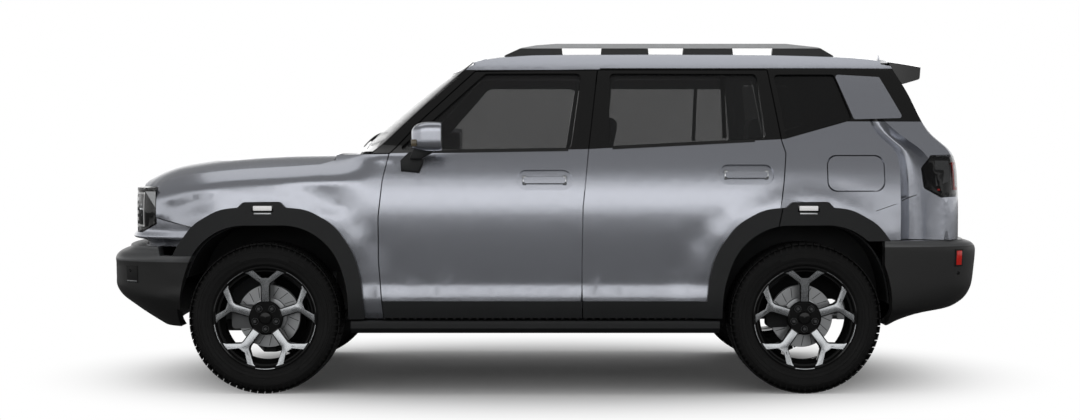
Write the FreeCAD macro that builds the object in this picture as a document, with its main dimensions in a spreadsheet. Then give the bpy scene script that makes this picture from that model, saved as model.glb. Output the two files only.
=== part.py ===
import FreeCAD, Part
import Sketcher
import math
import os
from FreeCAD import Vector, Placement, Rotation

# A boxy five door family off-road car, in millimetres.
# +X points forward, +Y to the car's left, +Z up. The origin is on the ground under the middle.

DRIVING_SIZES = {
    # lengths along the car
    "wheelbase": 2810,
    "front_overhang": 905,
    "rear_overhang": 990,
    "b_pillar_from_front_axle": 1650,
    # widths
    "body_half_width": 957,
    "flare_half_width": 983,
    "track_width": 1594,
    # heights
    "door_bottom_height": 400,
    "belt_height": 1250,
    "cant_height": 1690,
    "roof_height": 1815,
    "floor_height": 330,
    "bumper_top_height": 766,
    # walls and gaps
    "door_thickness": 85,
    "side_wall": 130,
    "roof_wall": 45,
    "hood_wall": 40,
    "tailgate_wall": 80,
    "glass_wall": 6,
    "shut_gap": 6,
    "hinge_gap": 10,
    "seat_gap": 0.5,
    # wheels
    "tyre_diameter": 788,
    "tyre_width": 255,
    "rim_diameter": 540,
    "rim_width": 215,
    "disc_diameter": 330,
    "disc_thickness": 28,
    "hub_diameter": 150,
    "axle_stub_radius": 24,
    # loose pieces
    "step_height": 65,
    "step_width": 198,
    "rail_width": 42,
    "seat_width": 500,
    "handle_length": 218,
    "steering_wheel_diameter": 370,
    "exhaust_pipe_diameter": 55,
    "tow_thread_radius": 8,
    "plate_screw_radius": 3,
}

doc = FreeCAD.newDocument("off_road_car")
sheet = doc.addObject("Spreadsheet::Sheet", "sizes")
for row, (alias, value) in enumerate(DRIVING_SIZES.items(), start=1):
    sheet.set("A%d" % row, alias)
    sheet.set("B%d" % row, str(value))
    sheet.setAlias("B%d" % row, alias)
doc.recompute()


def formula_of(value):
    return value.formula if isinstance(value, Size) else "(%r)" % float(value)


class Size(float):
    """A length that remembers the formula of sheet cells that it comes from."""

    def __new__(cls, value, formula):
        made = super().__new__(cls, value)
        made.formula = formula
        return made

    def worked(self, value, first, sign, second):
        return Size(value, "(%s %s %s)" % (formula_of(first), sign, formula_of(second)))

    def __add__(self, other):
        return self.worked(float(self) + float(other), self, "+", other)

    def __radd__(self, other):
        return self.worked(float(other) + float(self), other, "+", self)

    def __sub__(self, other):
        return self.worked(float(self) - float(other), self, "-", other)

    def __rsub__(self, other):
        return self.worked(float(other) - float(self), other, "-", self)

    def __mul__(self, other):
        return self.worked(float(self) * float(other), self, "*", other)

    def __rmul__(self, other):
        return self.worked(float(other) * float(self), other, "*", self)

    def __truediv__(self, other):
        return self.worked(float(self) / float(other), self, "/", other)

    def __neg__(self):
        return self.worked(-float(self), 0, "-", self)


def size(alias):
    return Size(float(sheet.get(alias)), "sizes." + alias)


wheelbase = size("wheelbase")
half_length = (wheelbase + size("front_overhang") + size("rear_overhang")) / 2
front_axle = half_length - size("front_overhang")
rear_axle = -half_length + size("rear_overhang")
axle_height = size("tyre_diameter") / 2
wheel_y = size("track_width") / 2
b_seam = front_axle - size("b_pillar_from_front_axle")
half_width = size("body_half_width")
sill = size("door_bottom_height")
belt = size("belt_height")
cant = size("cant_height")
gap = size("shut_gap")
seat_gap = size("seat_gap")
door_wall = size("door_thickness")
FAR = 3000


def smooth_through(points):
    """A curve through (t, value) points that never overshoots them."""
    points = [(float(t), float(value)) for t, value in points]
    count = len(points)
    steps = [points[i + 1][0] - points[i][0] for i in range(count - 1)]
    slopes = [(points[i + 1][1] - points[i][1]) / steps[i] for i in range(count - 1)]
    tangents = [slopes[0]]
    for i in range(1, count - 1):
        if slopes[i - 1] * slopes[i] <= 0:
            tangents.append(0.0)
        else:
            heavy = 2 * steps[i] + steps[i - 1]
            light = steps[i] + 2 * steps[i - 1]
            total = 3 * (steps[i - 1] + steps[i])
            tangents.append(total / (heavy / slopes[i - 1] + light / slopes[i]))
    tangents.append(slopes[-1])

    def value_at(t):
        t = min(max(t, points[0][0]), points[-1][0])
        i = max(k for k in range(count - 1) if points[k][0] <= t)
        s = (t - points[i][0]) / steps[i]
        start = (2 * s**3 - 3 * s**2 + 1) * points[i][1] + (s**3 - 2 * s**2 + s) * steps[i] * tangents[i]
        end = (3 * s**2 - 2 * s**3) * points[i + 1][1] + (s**3 - s**2) * steps[i] * tangents[i + 1]
        return start + end

    return value_at


def ease(t):
    t = min(max(t, 0.0), 1.0)
    return t * t * (3 - 2 * t)


def spread(low, high, count):
    low, high = float(low), float(high)
    return [low + (high - low) * i / (count - 1) for i in range(count)]


def surface(rows):
    spline = Part.BSplineSurface()
    spline.interpolate(rows)
    return spline.toShape()


# Half width of the body over the height, at the middle of the doors.
side_profile = smooth_through([
    (300, half_width - 70), (sill, half_width - 40), (470, half_width - 16), (505, half_width - 11),
    (552, half_width - 19), (640, half_width - 15), (760, half_width - 7), (880, half_width - 1),
    (940, half_width), (1040, half_width - 6), (1130, half_width - 20), (1200, half_width - 38),
    (belt, half_width - 55), (belt + 40, half_width - 69), (1400, half_width - 107),
    (1500, half_width - 146), (1600, half_width - 188), (cant, half_width - 232),
    (cant + 45, half_width - 262), (cant + 75, half_width - 292), (cant + 92, half_width - 322),
])

# How far the body draws in towards its front and rear corners, seen from above.
front_corner = [(0, 0), (300, 14), (500, 40), (700, 88), (780, 135), (848, 218), (902, 340), (935, 483),
                (950, 640)]
front_face_x = half_length - 112.5
draw_in_front = smooth_through([(front_face_x - back, half_width - y) for y, back in reversed(front_corner)])
corner_back = smooth_through([(y, back) for y, back in front_corner] + [(half_width, 900)])
draw_in_rear = smooth_through([
    (-half_length + 60, 140), (-half_length + 180, 96), (-half_length + 300, 66),
    (-half_length + 500, 34), (-half_length + 750, 12), (-half_length + 1150, 0),
])
# The edge between bonnet and wing: its height along the car.
wing_edge_height = smooth_through([
    (front_axle - 570, 1200), (front_axle - 280, 1194), (front_axle - 160, 1186),
    (front_axle + 200, 1163), (front_axle + 480, 1123), (front_axle + 650, 1060),
])


def side_y(x, z):
    """The body side's half width at a place seen from the side."""
    upper = ease((z - belt + 15) / 70)
    low = draw_in_front(x) if x > front_axle - 600 else 0.0
    rear = draw_in_rear(x) if x < rear_axle + 200 else 0.0
    high = 62 * max(0.0, (x + 200) / 1085) ** 2.5
    haunch = 0.0
    for axle in (front_axle, rear_axle):
        reach = math.hypot(x - axle, z - axle_height)
        haunch += 10 * (1 - ease((reach - 600) / 110))
    wing = ease((x - front_axle + 600) / 240)
    over = min(max(0.0, (z - wing_edge_height(x) + 100) / 100), 1.8)
    shoulder = side_profile(z) + wing * (half_width - side_profile(z) - 3) if z > 940 else side_profile(z)
    return (shoulder - wing * 85 * over**2 - (1 - upper) * low - rear - upper * high * (1 - wing)
            + haunch * (1 - upper))


def flare_face_y(x, z):
    """The outer face of the flares and the door cladding."""
    reach = min(abs(x - front_axle), abs(x - rear_axle))
    middle = 25 * ease((reach - 480) / 120)
    low = draw_in_front(x) if x > front_axle + 100 else 0.0
    low += draw_in_rear(x) if x < rear_axle - 100 else 0.0
    return size("flare_half_width") - middle - 0.75 * low - 22 * ease((520 - z) / 220)


def side_face(inset):
    xs = spread(-half_length + 60, front_face_x - 90, 46)
    zs = spread(300, cant + 92, 34)
    return surface([[Vector(x, side_y(x, z) - inset, z) for z in zs] for x in xs])


def side_slab(outer, inner):
    """The left body side as a wall, between two depths under the skin."""
    return side_face(outer).extrude(Vector(0, outer - inner, 0))


def rounded_wire(points, place):
    """A closed outline through (a, b) or (a, b, radius) points; place turns (a, b) into a Vector."""
    count = len(points)
    ends = []
    for i in range(count):
        here = points[i]
        radius = here[2] if len(here) > 2 else 0
        corner = Vector(here[0], here[1], 0)
        before = (Vector(points[i - 1][0], points[i - 1][1], 0) - corner)
        after = (Vector(points[(i + 1) % count][0], points[(i + 1) % count][1], 0) - corner)
        if radius == 0:
            ends.append((corner, None, corner))
            continue
        half_turn = before.getAngle(after) / 2
        reach = min(radius / math.tan(half_turn), 0.49 * before.Length, 0.49 * after.Length)
        radius = reach * math.tan(half_turn)
        first = corner + before.normalize() * reach
        last = corner + after.normalize() * reach
        toward = ((before + after) * 0.5).normalize()
        middle = corner + toward * (radius / math.sin(half_turn) - radius)
        ends.append((first, middle, last))
    edges = []
    for i in range(count):
        first, middle, last = ends[i]
        if middle is not None:
            edges.append(Part.Arc(*[place(p.x, p.y) for p in (first, middle, last)]).toShape())
        start = ends[(i + 1) % count][0]
        if last.distanceToPoint(start) > 0.01:
            edges.append(Part.makeLine(place(last.x, last.y), place(start.x, start.y)))
    return Part.Wire(edges)


def side_prism(points, y_from, y_to):
    """An outline seen from the side, run across the car."""
    wire = rounded_wire(points, lambda a, b: Vector(a, y_from, b))
    return Part.Face(wire).extrude(Vector(0, y_to - y_from, 0))


def plan_prism(points, z_from, z_to):
    """An outline seen from above, run upwards."""
    wire = rounded_wire(points, lambda a, b: Vector(a, b, z_from))
    return Part.Face(wire).extrude(Vector(0, 0, z_to - z_from))


def front_prism(points, x_from, x_to):
    """An outline seen from the front, run along the car."""
    wire = rounded_wire(points, lambda a, b: Vector(x_from, a, b))
    return Part.Face(wire).extrude(Vector(x_to - x_from, 0, 0))


def slanted_prism(points, slants):
    """A door outline whose shut faces lean in by their own slant, so that it swings free."""
    outer_y, inner_y = 1100, 500

    def leaning(y):
        moved = []
        for (x, z), slant in zip(points, slants):
            skin_y = flare_face_y(x, z) if z < 500 else side_y(x, z)
            moved.append(Vector(x + slant * (skin_y - y), y, z))
        return Part.makePolygon(moved + moved[:1])

    return Part.makeLoft([leaning(outer_y), leaning(inner_y)], True, True)


def box(x, y, z):
    """A box between two corners on each axis."""
    return Part.makeBox(x[1] - x[0], y[1] - y[0], z[1] - z[0], Vector(x[0], y[0], z[0]))


def mirrored(shape):
    return shape.mirror(Vector(0, 0, 0), Vector(0, 1, 0))


def both_sides(shape):
    return Part.makeCompound([shape, mirrored(shape)])


def across(radius, length, x, y, z):
    """A cylinder across the car, centred on y."""
    return Part.makeCylinder(radius, length, Vector(x, y - length / 2, z), Vector(0, 1, 0))


def solids_of(shape, least=1000):
    """The solids of a shape as one solid or a compound, without slivers."""
    kept = [s for s in shape.Solids if s.Volume > least]
    return kept[0] if len(kept) == 1 else Part.makeCompound(kept)


pieces = {}


def keep(name, piece):
    """Keep an object of the document as the node of that name."""
    piece.Label = name
    pieces[name] = piece


def add(name, shape):
    """Put a finished free-form shape in the document under its node's name."""
    piece = doc.addObject("Part::Feature", name)
    piece.Shape = solids_of(shape)
    keep(name, piece)


def add_pair(name, left_shape):
    """A left piece and its mirror image, each a node of its own."""
    add(name + "_left", left_shape)
    add(name + "_right", mirrored(left_shape))


# Objects that are bound to the sheet: blocks, rods, and outlines that are run or turned.
TURNS = {
    "x": Rotation(Vector(0, 1, 0), 90), "y": Rotation(Vector(1, 0, 0), -90), "z": Rotation(),
    "side": Rotation(Vector(1, 0, 0), 90), "plan": Rotation(), "front": Rotation(Vector(1, 1, 1), 120),
}


def bind(target, path, value):
    """Set a property, bound to its formula where it comes from the sheet."""
    if isinstance(value, Size):
        target.setExpression(path, value.formula)
    else:
        setattr(target, path, value)


def put(target, place, turn=Rotation()):
    """Place an object, with each coordinate bound to its formula."""
    target.Placement = Placement(Vector(*place), turn)
    for axis, value in zip("xyz", place):
        if isinstance(value, Size):
            target.setExpression("Placement.Base." + axis, value.formula)


def primitive(kind, name, place, turn=Rotation(), **lengths):
    made = doc.addObject("Part::" + kind, name)
    put(made, place, turn)
    for path, value in lengths.items():
        bind(made, path, value)
    return made


def block(name, x, y, z):
    """A block between two places on each axis."""
    return primitive("Box", name, (x[0], y[0], z[0]), Length=x[1] - x[0], Width=y[1] - y[0],
                     Height=z[1] - z[0])


def rod(name, axis, radius, start, length):
    """A round rod from its start along an axis."""
    return primitive("Cylinder", name, start, TURNS[axis], Radius=radius, Height=length)


def fused(name, *shapes):
    made = doc.addObject("Part::MultiFuse", name)
    made.Shapes = list(shapes)
    made.Refine = True
    return made


def carved(name, base, *tools):
    made = doc.addObject("Part::Cut", name)
    made.Base = base
    made.Tool = tools[0] if len(tools) == 1 else fused(name + "_tools", *tools)
    return made


def reflection(name, source):
    """The same object on the other side of the car."""
    made = doc.addObject("Part::Mirroring", name)
    made.Source = source
    made.Normal = Vector(0, 1, 0)
    return made


def left_and_right(name, left):
    made = doc.addObject("Part::Compound", name)
    made.Links = [left, reflection(name + "_other_side", left)]
    return made


def draw(sketch, points):
    """Draw a closed outline through (a, b) or (a, b, radius) points, and bind each corner."""
    count = len(points)
    ends = []
    for i in range(count):
        corner = Vector(points[i][0], points[i][1], 0)
        radius = float(points[i][2]) if len(points[i]) > 2 else 0.0
        if radius == 0:
            ends.append((corner, corner, None, 0.0))
            continue
        before = Vector(points[i - 1][0], points[i - 1][1], 0) - corner
        after = Vector(points[(i + 1) % count][0], points[(i + 1) % count][1], 0) - corner
        half_turn = before.getAngle(after) / 2
        reach = min(radius / math.tan(half_turn), 0.49 * before.Length, 0.49 * after.Length)
        radius = reach * math.tan(half_turn)
        before.normalize()
        after.normalize()
        centre = corner + (before + after).normalize() * (radius / math.sin(half_turn))
        ends.append((corner + before * reach, corner + after * reach, centre, radius))
    lines = []
    for i in range(count):
        lines.append(sketch.addGeometry(Part.LineSegment(ends[i][1], ends[(i + 1) % count][0]), False))
    rules = []
    formulas = {}

    def fix(geometry, place):
        for kind, value in (("DistanceX", place[0]), ("DistanceY", place[1])):
            if isinstance(value, Size):
                formulas[sketch.ConstraintCount + len(rules)] = value.formula
            rules.append(Sketcher.Constraint(kind, -1, 1, geometry, 1, float(value)))

    for i in range(count):
        first, last, centre, radius = ends[i]
        before, after = lines[i - 1], lines[i]
        if centre is None:
            rules.append(Sketcher.Constraint("Coincident", before, 2, after, 1))
            fix(after, points[i])
            continue
        start = math.atan2(first.y - centre.y, first.x - centre.x)
        end = math.atan2(last.y - centre.y, last.x - centre.x)
        leftward = (end - start) % (2 * math.pi) < math.pi
        span = (start, end) if leftward else (end, start)
        arc = sketch.addGeometry(Part.ArcOfCircle(Part.Circle(centre, Vector(0, 0, 1), radius), *span), False)
        mark = sketch.addGeometry(Part.Point(Vector(points[i][0], points[i][1], 0)), True)
        rules.append(Sketcher.Constraint("Tangent", before, 2, arc, 1 if leftward else 2))
        rules.append(Sketcher.Constraint("Tangent", arc, 2 if leftward else 1, after, 1))
        fix(mark, points[i])
        rules.append(Sketcher.Constraint("PointOnObject", mark, 1, before))
        rules.append(Sketcher.Constraint("PointOnObject", mark, 1, after))
        rules.append(Sketcher.Constraint("Radius", arc, radius))
    sketch.addConstraint(rules)
    for index, formula in formulas.items():
        sketch.setExpression("Constraints[%d]" % index, formula)


def run(name, view, points, start, end):
    """An outline seen from the side, in plan or from the front, run from one place to another."""
    sketch = doc.addObject("Sketcher::SketchObject", name + "_outline")
    places = {"side": (0, end, 0), "plan": (0, 0, start), "front": (start, 0, 0)}
    put(sketch, places[view], TURNS[view])
    draw(sketch, points)
    made = doc.addObject("Part::Extrusion", name)
    made.Base = sketch
    made.DirMode = "Normal"
    made.Solid = True
    bind(made, "LengthFwd", end - start)
    return made


def body_sketch(body, name, role, points):
    """A sketch of a body, drawn on one of its own planes."""
    sketch = body.newObject("Sketcher::SketchObject", name)
    plane = [feature for feature in body.Origin.OriginFeatures if feature.Role == role][0]
    sketch.AttachmentSupport = [(plane, "")]
    sketch.MapMode = "FlatFace"
    draw(sketch, points)
    return sketch


def turned(body, name, points):
    """An outline of (radius, along) points turned about the body's Y axis."""
    sketch = body_sketch(body, name + "_section", "XY_Plane", points)
    feature = body.newObject("PartDesign::Revolution", name)
    feature.Profile = sketch
    feature.ReferenceAxis = (sketch, ["V_Axis"])
    feature.Angle = 360
    body.Tip = feature
    return feature


# Outlines of the shut lines, seen from the side. A door seam is named by its pillar.
a_seam = [(front_axle - 648, belt - 2), (front_axle - 616, 1114), (front_axle - 595, 923),
          (front_axle - 595, 701), (front_axle - 608, 531), (front_axle - 621, sill)]
b_seam_line = [(b_seam - 2, sill), (b_seam, sill + 92), (b_seam + 2, 546), (b_seam + 2, 701),
               (b_seam - 3, 970),
               (b_seam - 35, belt + 40), (b_seam - 84, cant)]
c_seam = [(rear_axle + 179, cant), (rear_axle + 123, belt + 66), (rear_axle + 104, belt + 3),
          (rear_axle + 120, 1093), (rear_axle + 141, 949), (rear_axle + 159, 861)]
half_gap = gap / 2
SHUT_SLANT = 0.42


def stepped(line):
    """The same line with its long runs divided, so that a leaning face follows the curved skin."""
    points = [line[0]]
    for (x_from, z_from), (x_to, z_to) in zip(line, line[1:]):
        count = math.ceil(abs(z_to - z_from) / 65)
        points += [(x_from + (x_to - x_from) * i / count, z_from + (z_to - z_from) * i / count)
                   for i in range(1, count + 1)]
    return points


b_seam_line = stepped(b_seam_line)
c_seam = stepped(c_seam)

front_door_outline = (
    [(x - half_gap, z) for x, z in a_seam[::-1]]
    + [(front_axle - 682, belt + 30), (front_axle - 815, belt + 176), (front_axle - 1090, cant - 8)]
    + [(x + half_gap, z) for x, z in b_seam_line[::-1]]
)
front_door_slants = [0.0] * (len(a_seam) + 3) + [SHUT_SLANT] * len(b_seam_line)
rear_door_outline = (
    [(x - half_gap, z) for x, z in b_seam_line]
    + [(x + half_gap, z) for x, z in c_seam]
    + [(rear_axle + 165, 800), (rear_axle + 400, sill)]
)
rear_door_slants = [0.0] * len(b_seam_line) + [SHUT_SLANT] * (len(c_seam) + 1) + [0.0]


def grown(outline, distance):
    """The same outline with each edge moved outwards, as a list of points."""
    count = len(outline)
    area = sum(outline[i - 1][0] * outline[i][1] - outline[i][0] * outline[i - 1][1] for i in range(count))
    side = distance if area > 0 else -distance
    moved = []
    for i in range(count):
        here = Vector(outline[i][0], outline[i][1], 0)
        before = (here - Vector(outline[i - 1][0], outline[i - 1][1], 0)).normalize()
        after = (Vector(outline[(i + 1) % count][0], outline[(i + 1) % count][1], 0) - here).normalize()
        out_before = Vector(before.y, -before.x, 0)
        out_after = Vector(after.y, -after.x, 0)
        middle = (out_before + out_after).normalize()
        corner = here + middle * (side / max(middle.dot(out_before), 0.3))
        moved.append((corner.x, corner.y) + tuple(outline[i][2:]))
    return moved


# Windows, seen from the side.
front_glass_outline = [(front_axle - 1144, cant - 17, 25), (b_seam + 1, cant - 17, 25),
                       (b_seam + 58, belt + 32, 20),
                       (front_axle - 689, belt + 19, 12), (front_axle - 871, belt + 176, 30)]
rear_glass_outline = [(b_seam - 148, cant - 17, 25), (rear_axle + 239, cant - 20, 25),
                      (rear_axle + 204, belt + 81, 20), (b_seam - 139, belt + 41, 20)]
quarter_glass_outline = [(rear_axle + 147, cant - 22, 20), (rear_axle - 172, cant - 22, 20),
                         (rear_axle - 255, belt + 178, 20), (rear_axle + 96, belt + 80, 20)]
side_panel_outline = [(rear_axle - 174, cant - 22, 14), (rear_axle - 414, cant - 35, 14),
                      (rear_axle - 526, belt + 187, 14), (rear_axle - 262, belt + 180, 14)]

# Wheel arch outlines and flares.
GLASS_INSET = 14
cladding_top = sill + 88
INNER_DEPTH = door_wall + 12
FENDER_WALL = 50
flare_end_front = size("bumper_top_height") - 46
flare_end_rear = size("bumper_top_height") + 33


def flare_outer(axle, tab_front, tab_rear):
    """The outer edge of a wheel arch flare with its raised tab, as points about the axle."""
    return [(axle + 523, sill - 4), (axle + 507, 600, 900), (axle + 470, 742, 500), (axle + 360, 886, 260),
            (axle + 225, 962, 260), (axle + tab_front + 30, 972, 20), (axle + tab_front, 1000, 20),
            (axle + tab_rear, 1002, 20), (axle + tab_rear - 28, 972, 20), (axle - 230, 962, 260),
            (axle - 372, 882, 260), (axle - 478, 730, 500), (axle - 512, 570, 900), (axle - 523, sill - 4)]


def arch_inner(axle):
    """The wheel opening's edge, as points about the axle."""
    return [(axle + 440, sill - 160), (axle + 436, 560, 700), (axle + 352, 770, 420), (axle + 190, 880, 380),
            (axle - 200, 882, 380), (axle - 365, 765, 420), (axle - 441, 565, 700), (axle - 443, sill - 160)]


front_flare_zone = side_prism(flare_outer(front_axle, 97, -92), 700, FAR)
rear_flare_zone = side_prism(flare_outer(rear_axle, 80, -107), 700, FAR)
front_arch_zone = side_prism(arch_inner(front_axle), 400, FAR)
rear_arch_zone = side_prism(arch_inner(rear_axle), 400, FAR)
wheel_room_radius = size("tyre_diameter") / 2 + 66
front_wheel_room = across(wheel_room_radius, 500, front_axle, 652, axle_height)
rear_wheel_room = across(wheel_room_radius - 20, 300, rear_axle, 755, axle_height)


def flare_slab(wall):
    xs = spread(-half_length + 60, front_face_x - 90, 60)
    zs = spread(300, 1060, 14)
    face = surface([[Vector(x, flare_face_y(x, z), z) for z in zs] for x in xs])
    return face.extrude(Vector(0, -wall, 0))


# The doors: skin, frame and inner panel in one wall, with the window cut through.
outer_wall = side_slab(0, door_wall)
flare_wall = flare_slab(door_wall + 25)
front_door_solid = slanted_prism(front_door_outline, front_door_slants)
rear_door_solid = slanted_prism(rear_door_outline, rear_door_slants)
low_band = box((-FAR, FAR), (0, FAR), (0, cladding_top))
sill_band = box((-FAR, FAR), (0, FAR), (sill, cladding_top - seat_gap))
front_window = side_prism(front_glass_outline, 450, FAR)
front_door_panel = outer_wall.cut(front_window).common(front_door_solid)


def with_handle(panel, x, z):
    """A door panel with a rounded recess and a bar that bridges it."""
    def band(outer, inner, half_long, half_high, radius):
        corners = [(x + half_long, z + half_high, radius), (x - half_long, z + half_high, radius),
                   (x - half_long, z - half_high, radius), (x + half_long, z - half_high, radius)]
        return side_slab(outer, inner).common(side_prism(corners, 600, FAR))

    half_long = size("handle_length") / 2
    panel = panel.cut(band(-60, 18, half_long + 34, 52, 50))
    bar = band(-9, 4, half_long, 16, 14)
    for foot_x in (x - half_long + 22, x + half_long - 22):
        foot = side_slab(-5, 26).common(box((foot_x - 10, foot_x + 10), (600, FAR), (z - 11, z + 11)))
        bar = bar.fuse(foot)
    return panel.fuse(bar)


add_pair("door_front_panel", with_handle(front_door_panel.cut(low_band), b_seam + 196, belt - 136))
rear_door_panel = outer_wall.common(rear_door_solid).cut(side_prism(rear_glass_outline, 400, FAR))
rear_door_panel = rear_door_panel.cut(low_band)
rear_door_panel = rear_door_panel.cut(side_prism(grown(flare_outer(rear_axle, 80, -107), seat_gap), 400, FAR))
add_pair("door_rear_panel", with_handle(rear_door_panel.cut(rear_arch_zone), rear_axle + 312, belt - 108))
add_pair("door_front_cladding", flare_wall.common(front_door_solid).common(sill_band))
rear_trim_zone = sill_band.fuse(rear_flare_zone.cut(box((-FAR, FAR), (0, FAR), (0, sill))))
rear_cladding = flare_wall.common(rear_door_solid).common(rear_trim_zone)
add_pair("door_rear_cladding", rear_cladding.cut(rear_arch_zone))

glass_slab = side_slab(GLASS_INSET, GLASS_INSET + size("glass_wall"))


def pane(outline):
    return glass_slab.common(side_prism(grown(outline, -seat_gap), 400, FAR))


add_pair("door_front_glass", pane(front_glass_outline))
add_pair("door_rear_glass", pane(rear_glass_outline))

# A door mirror: its housing on an arm that stands on the door.
mirror_x = front_axle - 770


def mirror_solid():
    arm_y = side_y(mirror_x, belt - 70)
    arm = box((mirror_x - 30, mirror_x + 60), (arm_y + seat_gap, 1010), (belt - 75, belt + 10))
    base = box((mirror_x - 50, mirror_x + 60), (side_y(mirror_x, belt - 40) + seat_gap, 960),
               (belt - 95, belt - 10))
    shell_points = [(mirror_x - 30, 985, 30), (mirror_x + 45, 985, 40), (mirror_x + 85, 1030, 40),
                    (mirror_x + 60, 1165, 40), (mirror_x - 40, 1185, 30)]
    shell = plan_prism(shell_points, belt + 8, belt + 158)
    side_shape = side_prism([(mirror_x - 52, belt + 10, 20), (mirror_x + 60, belt + 10, 40),
                             (mirror_x + 92, belt + 80, 50), (mirror_x + 70, belt + 160, 50),
                             (mirror_x - 30, belt + 160, 30)], 900, 1300)
    return shell.common(side_shape).fuse(arm).fuse(base).removeSplitter()


mirror = mirror_solid().cut(side_slab(-seat_gap, 400))
add_pair("door_mirror", mirror)

# The bonnet and the wings either side of it.
hood_centre_height = smooth_through([
    (front_axle - 480, 1256), (front_axle - 148, 1252), (front_axle - 12, 1247), (front_axle + 203, 1232),
    (front_axle + 418, 1205), (front_axle + 525, 1185), (front_axle + 633, 1148), (front_axle + 703, 1112),
    (front_axle + 748, 1090), (front_axle + 790, 1070),
])
hood_rear_x = front_axle - 352
HOOD_NOSE = -42


def hood_edge_y(x):
    return side_y(x, wing_edge_height(x)) - gap


def hood_height(x, y):
    crown = min(abs(y) / hood_edge_y(x), 1.12)
    fall = hood_centre_height(x) - wing_edge_height(x)
    return hood_centre_height(x) - fall * (0.14 * crown**2 + 0.86 * crown**7)


def hood_slab(above, below):
    xs = spread(front_axle - 470, front_axle + 780, 32)
    ys = spread(-930, 930, 41)
    face = surface([[Vector(x, y, hood_height(x, y) + above) for y in ys] for x in xs])
    return face.extrude(Vector(0, 0, -above - below))


def hood_outline(clear):
    """The bonnet seen from above, larger all round by a clearance."""
    edge_xs = spread(front_axle - 282, front_axle + 560, 12)
    side = [(x, hood_edge_y(x) + clear) for x in edge_xs]
    nose_ys = [760, 640, 500, 350, 180, 0]
    nose = [(front_face_x + HOOD_NOSE - corner_back(y) + clear, y) for y in nose_ys]
    half = [(hood_rear_x - clear, 0), (hood_rear_x - clear,
                                       hood_edge_y(hood_rear_x + 30) - 40 + clear)] + side + nose
    other = [(x, -y) for x, y in half[::-1] if y != 0]
    return half + other


hood = hood_slab(0, size("hood_wall")).common(plan_prism(hood_outline(0), 900, 1500))
lamp_top = 1069
add("hood_panel", hood.cut(box((front_axle + 500, FAR), (-1000, 1000), (0, lamp_top + gap))))
# The nose moves a little forward as the bonnet starts to rise, so its seam is wider than a door's.
HOOD_SEAM = gap + 2.5
hood_room = hood_slab(120, size("hood_wall") + gap).common(plan_prism(hood_outline(HOOD_SEAM), 900, 1500))
lamp_rear_x = front_axle + 574
fender_outline = (
    [(x + half_gap, z) for x, z in a_seam[::-1]]
    + [(front_axle - 355, belt - 6), (front_axle - 282, 1200), (front_axle - 160, 1192),
       (front_axle + 200, 1169),
       (front_axle + 482, 1129), (lamp_rear_x, 1095), (lamp_rear_x, 918), (front_axle + 340, 864),
       (front_axle + 200, 700), (front_axle - 420, sill - 4), (front_axle - 618, sill - 4)]
)
fender = side_slab(0, FENDER_WALL).common(side_prism(fender_outline, 300, FAR)).cut(hood_room)
fender = fender.cut(side_prism(grown(flare_outer(front_axle, 97, -92), seat_gap), 400, FAR))
fender = fender.cut(front_arch_zone).cut(front_wheel_room)
add("front_wings", both_sides(solids_of(fender, 100000)))
fender_room = side_slab(-80, FENDER_WALL + seat_gap + 0.3).common(side_prism(grown(fender_outline, gap), 300, FAR))

# The body side: pillars, cant rail, sill and quarter panel in one wall.
pillar_front = [(front_axle - 560, sill + 100), (front_axle - 560, belt + 4), (front_axle - 760, belt + 188),
                (front_axle - 1051, cant + 16), (front_axle - 1130, cant + 60),
                (front_axle - 1250, cant + 86)]
body_side_outline = (
    pillar_front
    + [(rear_axle - 450, cant + 86), (rear_axle - 600, cant - 60), (rear_axle - 735, belt + 100),
       (rear_axle - 800, belt + 30), (rear_axle - 880, belt + 20), (rear_axle - 880, flare_end_rear + 3),
       (rear_axle - 400, flare_end_rear + 3), (rear_axle, 700), (rear_axle + 400, sill - 4),
       (front_axle - 470, sill - 4)]
)
front_aperture = [(b_seam + 60, sill + 110, 60), (front_axle - 660, sill + 110, 60),
                  (front_axle - 680, belt - 20, 40),
                  (front_axle - 890, belt + 140, 40), (front_axle - 1120, cant - 45, 60),
                  (b_seam - 10, cant - 45, 40), (b_seam + 50, belt, 60)]
rear_aperture = [(b_seam - 120, sill + 110, 60), (b_seam - 125, belt, 60), (b_seam - 165, cant - 45, 40),
                 (rear_axle + 250, cant - 45, 40), (rear_axle + 190, belt - 30, 60),
                 (rear_axle + 330, 900, 100),
                 (rear_axle + 520, 720, 100), (rear_axle + 560, sill + 110, 60)]
door_depth = side_slab(-80, INNER_DEPTH)
CLADDING_DEPTH = door_wall + 31
low_depth = flare_slab(CLADDING_DEPTH)


def door_room(outline, slants):
    solid = slanted_prism(grown(outline, gap), slants)
    return door_depth.common(solid).fuse(low_depth.common(solid))


# The tail: its face seen from the side and from above.
rear_corner = smooth_through([(0, 0), (400, 14), (700, 38), (780, 58), (850, 105), (900, 200), (950, 400)])
tail_face = smooth_through([
    (300, -half_length + 118), (900, -half_length + 112), (1100, -half_length + 117),
    (1230, -half_length + 135),
    (belt + 40, -half_length + 182), (belt + 103, -half_length + 257), (belt + 340, -half_length + 397),
    (cant - 10, -half_length + 452), (cant + 130, -half_length + 530),
])


def tail_slab(outer, inner):
    """The tail's wall between two depths ahead of its face."""
    ys = spread(-960, 960, 25)
    zs = spread(300, cant + 130, 28)
    rows = [[Vector(tail_face(z) + rear_corner(abs(y)) + outer, y, z) for z in zs] for y in ys]
    return surface(rows).extrude(Vector(inner - outer, 0, 0))


tail_solid = tail_slab(0, 3400)
lamp_outline = [(rear_axle - 616, 1176, 15), (rear_axle - 658, 1242, 15), (rear_axle - 900, 1250),
                (rear_axle - 900, 1032), (rear_axle - 706, 1022, 20), (rear_axle - 630, 1070, 20)]
TAIL_LAMP_INNER_Y = 655


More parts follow.
